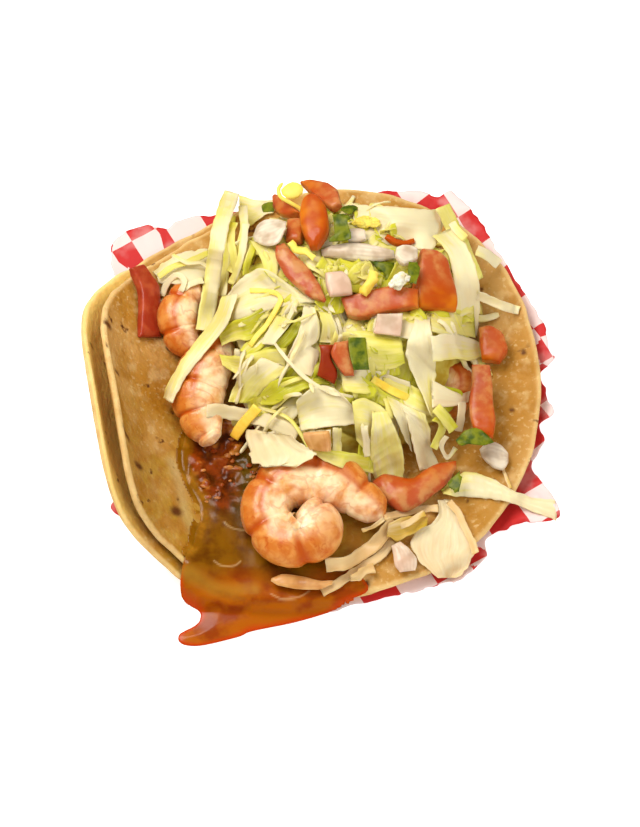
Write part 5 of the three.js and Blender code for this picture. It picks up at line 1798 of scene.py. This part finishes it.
LEAVES = (
    # the far side, from left to right
    Leaf(((153, 270), (162, 262), (175, 255), (190, 250), (205, 247)),
         ((155, 276), (164, 284), (195, 281), (210, 277)), 0.02, fray=2.0, seed=11),
    ribbon(((158, 276), (172, 266), (190, 260), (208, 252)), 6, tint=0.5, lift=0.5, seed=85),
    ribbon(((172, 254), (186, 262), (200, 262), (212, 268)), 4, tint=0.1, lift=0.6, seed=86),
    Leaf(((238, 193), (252, 197), (266, 198), (278, 197)),
         ((240, 226), (252, 223), (263, 214), (273, 211)), 0.1, seed=12),
    ribbon(((230, 214), (227, 240), (224, 264), (221, 296)), 10, tint=0.35, seed=87),
    ribbon(((242, 204), (244, 226), (240, 250), (231, 272)), 9, tint=0.2, seed=88),
    ribbon(((234, 222), (231, 240), (240, 286)), 8, tint=0.45, seed=13),
    ribbon(((246, 224), (240, 262), (231, 284)), 7, tint=0.1, seed=73),
    ribbon(((257, 234), (248, 262), (246, 276)), 7, tint=0.6, seed=74),
    Leaf(((250, 240), (262, 262), (264, 272)), ((264, 242), (276, 252), (278, 266), (276, 284)), 0.35,
         seed=14),
    Leaf(((352, 204), (432, 209), (447, 206)), ((356, 238), (424, 250), (440, 240)), -0.15, ruffle=0.3,
         seed=15),
    ribbon(((443, 205), (460, 240), (477, 280)), 15, tint=0.35, seed=16),
    Leaf(((432, 236), (447, 252), (452, 272), (456, 312), (460, 330)),
         ((452, 228), (468, 248), (476, 270), (480, 292), (480, 312), (477, 336)), 0.0, seed=17),
    ribbon(((477, 250), (490, 256), (500, 264)), 11, tint=-0.05, seed=18),
    ribbon(((477, 295), (505, 306), (520, 310)), 9, tint=0.0, seed=19),
    ribbon(((452, 222), (458, 230), (466, 238)), 8, tint=0.15, seed=20),
    # the left side
    ribbon(((231, 190), (220, 228), (213, 272), (204, 330)), 16.5, tint=0.12, lift=0.6, ribs=0.05,
           ruffle=0.3, seed=21),
    ribbon(((203, 280), (190, 284), (156, 306)), 6.5, tint=-0.15, ruffle=0.3, seed=22),
    ribbon(((161, 295), (166, 284), (173, 276), (180, 275), (184, 282), (180, 291)), 6, tint=-0.2,
           ruffle=0.3, seed=23),
    Leaf(((225, 300), (234, 286), (250, 273), (266, 270), (302, 293), (321, 300)),
         ((220, 320), (238, 320), (274, 309), (290, 306), (306, 304), (322, 304)), 0.0, seed=24),
    Leaf(((218, 332), (232, 322), (248, 316), (262, 308)),
         ((222, 346), (238, 340), (252, 340), (270, 322)), 0.75, seed=25),
    Leaf(((262, 318), (258, 330), (240, 350)), ((283, 310), (276, 330), (262, 348), (250, 356)), 0.6,
         seed=26),
    # an olive strip in the gap between two pale leaves: its olive tint is partly painted shade
    Leaf(((299, 316), (286, 332), (272, 345), (257, 352)),
         ((304, 322), (297, 336), (286, 348), (268, 358)), 0.95, seed=27),
    Leaf(((276, 315), (268, 330), (262, 344)), ((293, 321), (284, 333), (274, 345)), 0.08, lift=0.8,
         seed=28),
    Leaf(((220, 355), (240, 356), (262, 351), (287, 348)),
         ((222, 365), (240, 375), (262, 373), (284, 373)), 0.42, seed=29),
    Leaf(((262, 358), (240, 377), (233, 389), (228, 402)), ((289, 368), (267, 388), (251, 403)), 0.22,
         lift=0.5, seed=30),
    # a leaf lying in shadow: its olive green is partly its own, partly painted shade
    Leaf(((256, 399), (266, 388), (278, 379), (312, 376), (326, 377)),
         ((262, 405), (275, 404), (302, 391), (318, 385), (330, 384)), 0.8, seed=31),
    Leaf(((222, 296), (216, 312), (208, 326), (185, 355), (175, 371), (167, 386), (163, 398)),
         ((238, 294), (233, 311), (226, 327), (190, 372), (180, 388), (173, 403)), 0.15, lift=0.6,
         ruffle=0.3, seed=32),
    # the middle
    Leaf(((318, 312), (322, 328), (319, 342)), ((331, 314), (337, 328), (340, 344)), 0.3, seed=33),
    Leaf(((304, 306), (297, 337), (287, 358), (289, 366), (311, 377)),
         ((315, 308), (319, 322), (320, 334), (316, 343), (311, 347), (319, 352), (317, 364),
          (312, 377)), -0.25, lift=0.9, seed=34),
    Leaf(((342, 333), (360, 331), (400, 336)), ((345, 362), (368, 368), (388, 370), (405, 364)), 0.45,
         seed=35),
    Leaf(((376, 312), (392, 308), (412, 310), (428, 308)),
         ((372, 330), (392, 336), (412, 340), (430, 338)), 0.05, seed=36),
    Leaf(((430, 306), (445, 312), (460, 314), (474, 304)),
         ((430, 332), (445, 336), (460, 335), (476, 338)), 0.25, seed=37),
    Leaf(((340, 372), (360, 368), (380, 372), (410, 382)),
         ((345, 392), (365, 394), (385, 392), (404, 402), (415, 410)), 0.1, seed=38),
    Leaf(((296, 402), (305, 393), (318, 386), (332, 388), (345, 398), (364, 420)),
         ((301, 431), (320, 428), (355, 424), (364, 424)), -0.05, lift=0.5, seed=39),
    Leaf(((382, 376), (412, 386), (428, 396), (434, 404)), ((386, 394), (414, 410), (433, 417)), 0.3,
         lift=0.5, seed=40),
    Leaf(((416, 306), (413, 325), (406, 345), (408, 364), (430, 414)),
         ((429, 310), (430, 328), (435, 364), (435, 384), (432, 417)), -0.1, lift=0.7, ruffle=0.3,
         seed=41),
    Leaf(((430, 337), (445, 334), (460, 335), (484, 344)),
         ((432, 362), (458, 359), (468, 361), (486, 355)), 0.08, lift=0.8, seed=42),
    # the near side
    Leaf(((352, 402), (362, 398), (374, 402), (386, 410)),
         ((356, 440), (366, 452), (372, 456), (378, 450)), 0.2, seed=43),
    Leaf(((386, 396), (396, 400), (404, 408)), ((396, 420), (404, 438), (412, 452)), -0.05, seed=44),
    ribbon(((337, 428), (337, 440), (337, 454)), 9, tint=0.05, seed=45),
    ribbon(((364, 426), (366, 440), (367, 456)), 7, tint=0.0, seed=46),
    Leaf(((309, 447), (340, 451), (373, 457)),
         ((310, 451), (322, 459), (335, 465), (350, 470), (373, 473)), 0.42, lift=0.5, ruffle=0.2,
         seed=47),
    Leaf(((372, 412), (370, 450), (371, 468), (376, 482)),
         ((386, 411), (394, 426), (400, 441), (404, 458), (403, 480)), 0.22, lift=0.5, ribs=0.12,
         ruffle=0.3, seed=48),
    Leaf(((398, 402), (406, 420), (419, 470)),
         ((424, 414), (430, 430), (431, 445), (434, 456), (440, 466)), -0.1, lift=0.5, ribs=0.08,
         ruffle=0.3, seed=49),
    ribbon(((434, 418), (442, 426), (433, 448)), 8, tint=0.6, seed=50),
    Leaf(((431, 380), (457, 393), (470, 391)), ((431, 408), (458, 405), (468, 402)), -0.55, lift=0.5,
         ruffle=0.8, seed=81),
    ribbon(((462, 401), (461, 416), (458, 431)), 8, tint=-0.35, lift=0.5, seed=82),
    ribbon(((435, 408), (443, 416), (453, 430)), 11, tint=0.45, seed=83),
    ribbon(((446, 436), (441, 446), (447, 457), (455, 448)), 5, tint=-0.1, seed=84),
    ribbon(((207, 411), (225, 412), (262, 419), (298, 434)), 14, tint=-0.35, lift=0.6, ruffle=0.4, seed=51),
    ribbon(((258, 408), (275, 412), (288, 418), (297, 428), (310, 449)), 3.5, tint=0.35, lift=0.5,
           ruffle=0.1, fray=0.2, seed=52),
    Leaf(((305, 432), (309, 440), (313, 449)), ((330, 430), (331, 440), (331, 450)), -0.3, seed=53),
)


@dataclass
class Heap:
    """The heap of shredded lettuce: loose strips over a smaller core, and the large leaves on top.

    Strips run down from crest and keep off the place clear (x, y, radius). Each lies by lie above what
    carries it and by press below the toppings, and at most a share most_over of it passes the limit,
    which is above over the heap's outside. The core lies by sink below that outside.
    """

    count: int = 270
    threads: int = 60
    clear: tuple[float, float, float] = (41.0, 2.0, 7.5)
    above: float = -1.6
    sink: float = 9.0
    crest: tuple[float, float] = (4.0, 34.0)
    seed: int = 23
    places: int = 18
    most_tries: int = 1600
    most_over: float = 0.3
    core_share: float = 0.86
    bed_over: float = 3.0
    lie: float = 0.35
    press: float = 1.8
    yaw_spread: float = 0.65
    lengths: tuple[float, float] = (16, 44)
    bends: tuple[float, float] = (-1.3, 1.3)

    def core(self, ceiling: Ceiling) -> Surface:
        """The inner core, on rings of its oval: the heap's dome let down by sink, or the toppings' bed."""
        share = np.linspace(0, 1, 41)[1:]
        a = np.linspace(0, 2 * np.pi, 150, endpoint=False)
        share, a = np.meshgrid(share, a, indexing="ij")
        c, s = math.cos(HEAP_TURN), math.sin(HEAP_TURN)
        p = self.core_share * HEAP_WIDE * share * np.cos(a)
        q = self.core_share * HEAP_LONG * share * np.sin(a)
        x, y = HEAP_X + p * c - q * s, HEAP_Y + p * s + q * c
        plan = np.stack([x, y], -1)
        floor = tortilla_top(x, y)
        top = np.maximum(heap_top(x, y) - self.sink - 1.5 * np.abs(noise(plan, 4, 81)), floor + 0.6)
        bed = np.minimum(ceiling.bed_at(x, y), heap_top(x, y) + self.bed_over)
        top = np.maximum(top, bed * (heap_share(x, y) < 0.8))
        grid = np.concatenate([np.stack([x, y, top], -1), np.stack([x, y, floor + 0.2], -1)[::-1]])
        tip = np.array([HEAP_X, HEAP_Y, 0.0])
        return rings(grid, tip + [0, 0, top[0].mean()], tip + [0, 0, floor[0].mean() + 0.2])

    def path(self, x: float, y: float, yaw: float, length: float, bend: float, ground: Ground,
             ceiling: Ceiling) -> Array:
        """A strip's middle line as it comes to rest.

        Args:
            x, y: its middle in plan.
            yaw: its direction, in radians.
            length: its length along the line.
            bend: how much it turns in plan, in radians.
            ground: what it may lie on.
            ceiling: what it has to stay below.

        Returns:
            Points of the line: it takes the ground's height, is drawn straight where it would dip,
            and is pressed below what lies on it.
        """
        t = np.linspace(-0.5, 0.5, self.places)
        heading = yaw + bend * t
        plan_length = length
        for _ in range(2):
            step = plan_length / (self.places - 1)
            px = x + np.cumsum(np.cos(heading)) * step
            py = y + np.cumsum(np.sin(heading)) * step
            px, py = px - px.mean() + x, py - py.mean() + y
            floor = ground.at(px, py) + self.lie
            z = floor.copy()
            for _ in range(6):
                z[1:-1] = np.maximum(floor[1:-1], 0.5 * (z[:-2] + z[2:]))
            roof = ceiling.at(px, py) - self.press
            for _ in range(3):
                z = np.minimum(z, roof)
                z[1:-1] = 0.5 * z[1:-1] + 0.25 * (z[:-2] + z[2:])
            z = np.minimum(z, roof)
            true = np.hypot(np.hypot(np.diff(px), np.diff(py)), np.diff(z)).sum()
            plan_length *= length / max(true, 1e-6)
        return np.stack([px, py, z], -1)

    def strips(self, ground: Ground, ceiling: Ceiling, cuts: tuple[Cut, ...], count: int, above: float,
               seed: int) -> list[Strip]:
        """Strips laid one after the other by a seeded rule, those that would stand too high left out.

        Args:
            ground: what they lie on; each strip raises it.
            ceiling: what they stay below.
            cuts: the kinds of strip to draw from.
            count: how many.
            above: the highest they may stand over the heap's outside.
            seed: the draws' seed.

        Returns:
            The strips: most of them run down from the heap's crest, within about a radian.
        """
        draw = np.random.default_rng(seed)
        made: list[Strip] = []
        tries = 0
        while len(made) < count and tries < self.most_tries:
            tries += 1
            share, a = math.sqrt(draw.uniform(0, 1.02)), draw.uniform(0, 2 * math.pi)
            x = HEAP_X + HEAP_WIDE * share * math.cos(a)
            y = HEAP_Y + HEAP_LONG * share * math.sin(a)
            cut = cuts[int(draw.integers(len(cuts)))]
            width, _, tint = cut.value
            yaw = math.atan2(y - self.crest[1], x - self.crest[0]) + draw.normal(0, self.yaw_spread)
            length, bend = draw.uniform(*self.lengths), draw.uniform(*self.bends)
            line = self.path(x, y, yaw, length, bend, ground, ceiling)
            px, py = line[:, 0], line[:, 1]
            bed = (ceiling.bed_at(px, py) + BED_CLEAR) * (heap_share(px, py) < 0.85)
            limit = np.maximum(heap_top(px, py) + above, bed)
            near = np.hypot(px - self.clear[0], py - self.clear[1]).min()
            if (line[:, 2] > limit).mean() > self.most_over or near < self.clear[2]:
                continue
            up = np.array([heap_up(ux, uy, 0.85) for ux, uy in line[::4, :2]])
            wide, own = width * draw.uniform(0.7, 1.3), int(draw.integers(MOST_SEEDS))
            shade = tint + draw.uniform(-0.3, 0.3)
            ruffle = 0.7 if cut is Cut.BLADE else 0.3
            made.append(Strip(line, wide, cut, own, shade, up, ruffle, draw.uniform(-0.9, 0.9)))
            ground.add(made[-1].surface().points)
        LOG.info("strips laid: %d of %d tries", len(made), tries)
        return made

    def piece(self, label: str, surfaces: list[Surface], finish: Material) -> None:
        """Makes one piece of several surfaces that stands for the heap."""
        make_piece(f"lettuce_{label}", joined(surfaces), finish, ("lettuce_heap",))

    @staticmethod
    def depths() -> list[float | Array]:
        """How far below the toppings each leaf stays, more where more of the later leaves lie over it."""
        over, unders = np.zeros((160, 140)), []
        for leaf in reversed(LEAVES):
            cell = (leaf.outline()[0] / 5).astype(int)
            unders.append(0.6 + 0.35 * over[cell[..., 1], cell[..., 0]])
            covered = np.zeros(over.shape, bool)
            covered[cell[..., 1], cell[..., 0]] = True
            over += covered
        return unders[::-1]

    def build(self, ground: Ground, ceiling: Ceiling, finish: Material, inside: Material) -> None:
        """Makes the core, the strips, the leaves on top and the fine threads over them."""
        core = self.core(ceiling)
        ground.add(core.points)
        cuts = (Cut.RIB, Cut.SHRED, Cut.SHRED, Cut.BLADE)
        strips = self.strips(ground, ceiling, cuts, self.count, self.above, self.seed)
        # the core's darker olive finish is painted shade, seen through the gaps in the heap
        self.piece("core", [core], inside)
        half = len(strips) // 2
        self.piece("strips_low", [s.surface() for s in strips[:half]], finish)
        self.piece("strips_high", [s.surface() for s in strips[half:]], finish)
        leaves = []
        for leaf, under in zip(LEAVES, self.depths()):
            leaves.append(leaf.surface(ground, ceiling, under))
            ground.add(leaves[-1].points)
        third = len(leaves) // 3 + 1
        for k, label in enumerate(("far", "middle", "near")):
            self.piece(f"leaves_{label}", leaves[k * third : (k + 1) * third], finish)
        threads = self.strips(ground, ceiling, (Cut.THREAD,), self.threads, 4.0, self.seed + 1)
        self.piece("threads", [s.surface() for s in threads], finish)


@dataclass
class LooseLettuce:
    """Pieces of lettuce that lie apart from the heap, each standing for its own solid, and the fine shreds.
    """

    pieces: tuple[tuple[str, Leaf], ...] = (
        ("lettuce_front_leaf", Leaf(
            ((437, 499), (438, 513), (431, 523), (417, 529), (411, 541), (415, 555), (425, 567),
             (437, 577)),
            ((451, 500), (459, 512), (466, 526), (473, 539), (477, 548), (470, 557), (467, 568),
             (456, 577)),
            -0.55, lift=0.8, ruffle=0.9, fade=-0.1, fray=1.2, seed=61)),
        ("lettuce_right_strip", Leaf(
            ((441, 490), (452, 478), (465, 472), (482, 475), (498, 482), (512, 490), (532, 497),
             (554, 500)),
            ((443, 494), (455, 496), (468, 497), (484, 498), (500, 500), (515, 504), (532, 511),
             (556, 520)),
            0.0, lift=0.8, ruffle=1.0, ribs=0.06, pleat=0.3, fade=-0.45, seed=62)),
        ("lettuce_rib",
         ribbon(((322, 591), (337, 583), (352, 573), (368, 563), (382, 553), (392, 540)), 8.5, tint=-0.4,
                lift=0.4, thick=1.4, ruffle=0.5, seed=63)),
        ("lettuce_cream", Leaf(
            ((247, 430), (249, 445), (251, 458), (262, 467)),
            ((292, 436), (305, 447), (318, 454), (300, 464)),
            -0.35, lift=0.6, thick=1.2, ruffle=2.2, pleat=0.25, fade=0.05, fray=2.5, seed=64)),
    )
    shreds: tuple[Leaf, ...] = (
        ribbon(((326, 564), (345, 562), (362, 553), (375, 543), (386, 530), (394, 520)), 13, tint=-0.5,
               thick=1.0, ruffle=1.2, seed=71),
        ribbon(((384, 516), (402, 513), (420, 509), (438, 508)), 7, tint=-0.45, thick=0.9, seed=72),
        Leaf(((388, 524), (398, 518), (412, 516), (428, 517)),
             ((386, 536), (398, 540), (410, 534), (426, 526)), 0.35, ruffle=1.6, fray=1.5, seed=79),
        ribbon(((400, 526), (412, 520), (424, 512)), 6, tint=-0.1, seed=73),
        ribbon(((448, 501), (457, 512), (465, 528), (472, 543), (475, 552)), 7, tint=-0.5, ruffle=0.8,
               seed=74),
        ribbon(((362, 530), (372, 526), (384, 518)), 4, tint=0.0, seed=77),
        ribbon(((503, 466), (505, 476), (510, 488)), 3, tint=-0.1, seed=78),
        ribbon(((350, 577), (358, 575), (366, 569), (374, 567)), 8, tint=-0.5, thick=1.4, ruffle=1.4,
               fray=1.5, seed=80),
    )

    def build(self, ground: Ground, ceiling: Ceiling, finish: Material) -> None:
        """Makes the pieces and the shreds."""
        # the darker copy of the lettuce finish is painted shade, used for the rib and the loose shreds
        painted_shade = PAINTED_SHADE_LETTUCE.material()
        for name, leaf in self.pieces:
            made = leaf.surface(ground, ceiling)
            look = painted_shade if name == "lettuce_rib" else finish
            make_piece(f"{name}_cut", made, look, (name,))
            ground.add(made.points)
        shreds = []
        for leaf in self.shreds:
            shreds.append(leaf.surface(ground, ceiling))
            ground.add(shreds[-1].points)
        make_piece("lettuce_shreds", joined(shreds), painted_shade)


# ---- the set
@dataclass
class Studio:
    """The camera, the lights, the sky and the pale floor.

    The camera stands away millimetres from aim, at the angle height above the floor.
    """

    aim: tuple[float, float, float] = (-0.6, -6.5, 10.0)
    away: float = 3500.0
    height: float = math.radians(66)
    lens: float = 466.0
    sensor: float = 36.0
    sky: Colour = (1.0, 0.985, 0.96)
    sky_strength: float = 0.62

    def build(self) -> None:
        """Sets them up."""
        scene = bpy.context.scene
        scene.view_settings.view_transform = "Standard"
        scene.view_settings.look = "None"
        camera_data = bpy.data.cameras.new("camera")
        camera_data.lens, camera_data.sensor_width = self.lens, self.sensor
        camera = bpy.data.objects.new("camera", camera_data)
        aim = Vector((np.array(self.aim) + ORIGIN) * MM)
        back = Vector((0, -math.cos(self.height), math.sin(self.height)))
        camera.location = aim + back * self.away * MM
        camera.rotation_euler = back.to_track_quat("Z", "Y").to_euler()
        scene.collection.objects.link(camera)
        scene.camera = camera
        self.lamp("key", (-0.35, 0.25, 0.75), 0.5, 6.5, (1.0, 0.97, 0.92))
        self.lamp("fill", (0.5, -0.35, 0.6), 0.6, 2.2, (1.0, 0.98, 0.95)).visible_glossy = False
        world = bpy.data.worlds.new("sky")
        world.use_nodes = True
        background = world.node_tree.nodes["Background"]
        background.inputs["Color"].default_value = (*self.sky, 1)
        background.inputs["Strength"].default_value = self.sky_strength
        world.cycles_visibility.glossy = False
        scene.world = world
        self.floor()

    def lamp(self, name: str, place: Colour, size: float, power: float, colour: Colour) -> bpy.types.Object:
        """A soft square lamp that faces the object."""
        data = bpy.data.lights.new(name, "AREA")
        data.size, data.energy, data.color = size, power, colour
        lamp = bpy.data.objects.new(name, data)
        lamp.location = place
        lamp.rotation_euler = Vector(place).to_track_quat("Z", "Y").to_euler()
        bpy.context.scene.collection.objects.link(lamp)
        return lamp

    def floor(self, r: float = 6.0, z: float = -2e-4) -> None:
        """The pale floor, a plain square a little below the paper, in metres."""
        mesh = bpy.data.meshes.new("floor")
        mesh.from_pydata([(-r, -r, z), (r, -r, z), (r, r, z), (-r, r, z)], [], [(0, 1, 2, 3)])
        s = Shader("pale_floor")
        s.body.inputs["Base Color"].default_value = (0.9, 0.9, 0.9, 1)
        s.body.inputs["Roughness"].default_value = 0.9
        s.body.inputs["Emission Color"].default_value = (1, 1, 1, 1)
        s.body.inputs["Emission Strength"].default_value = 0.6
        mesh.materials.append(s.material)
        floor = bpy.data.objects.new("floor", mesh)
        floor.visible_glossy = False
        bpy.context.scene.collection.objects.link(floor)


def main() -> None:
    """Builds the taco from below: paper, tortillas, salsa, shrimp, toppings and lettuce."""
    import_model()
    Studio().build()
    ground, ceiling = Ground(), Ceiling()
    Paper().build(PaperFinish().material())
    baked = TortillaFinish().material()
    # pale=1.0 gives the lower tortilla's rolled side its painted light
    lower = Tortilla("tortilla_lower", OUTER_CURL, OUTER_SLIDE, OUTER_LEVEL, 11, pale=1.0).build(baked)
    upper = Tortilla("tortilla_upper", INNER_CURL, (0.0, 0.0), INNER_LEVEL, 12).build(baked)
    side = np.arange(-95, 95, 0.5)
    x, y = (c.ravel() for c in np.meshgrid(side, side))
    ground.add(np.column_stack([x, y, paper_height(x, y) + PAPER_THICK]))
    ground.add(lower.points)
    ground.add(upper.points)
    Salsa().build(ground, SalsaFinish().material(), BIT.material())
    pink = ShrimpFinish().material()
    for shrimp in SHRIMP:
        ground.add(shrimp.build(pink).points)
    finishes = {name: finish.material() for name, finish in FINISHES.items()}
    for topping in (*SLABS, *CLUMPS):
        made = topping.surface()
        ceiling.add(made.points)
        of = topping.name.split("_")[0]
        make_piece(f"{topping.name}_cut", made, finishes[topping.look or of], (topping.name,))
    ceiling.widen()
    green = LettuceFinish().material()
    Heap().build(ground, ceiling, green, PAINTED_SHADE_CORE.material())
    LooseLettuce().build(ground, ceiling, green)


if __name__ == "__main__":
    logging.basicConfig(level=logging.INFO)
    main()
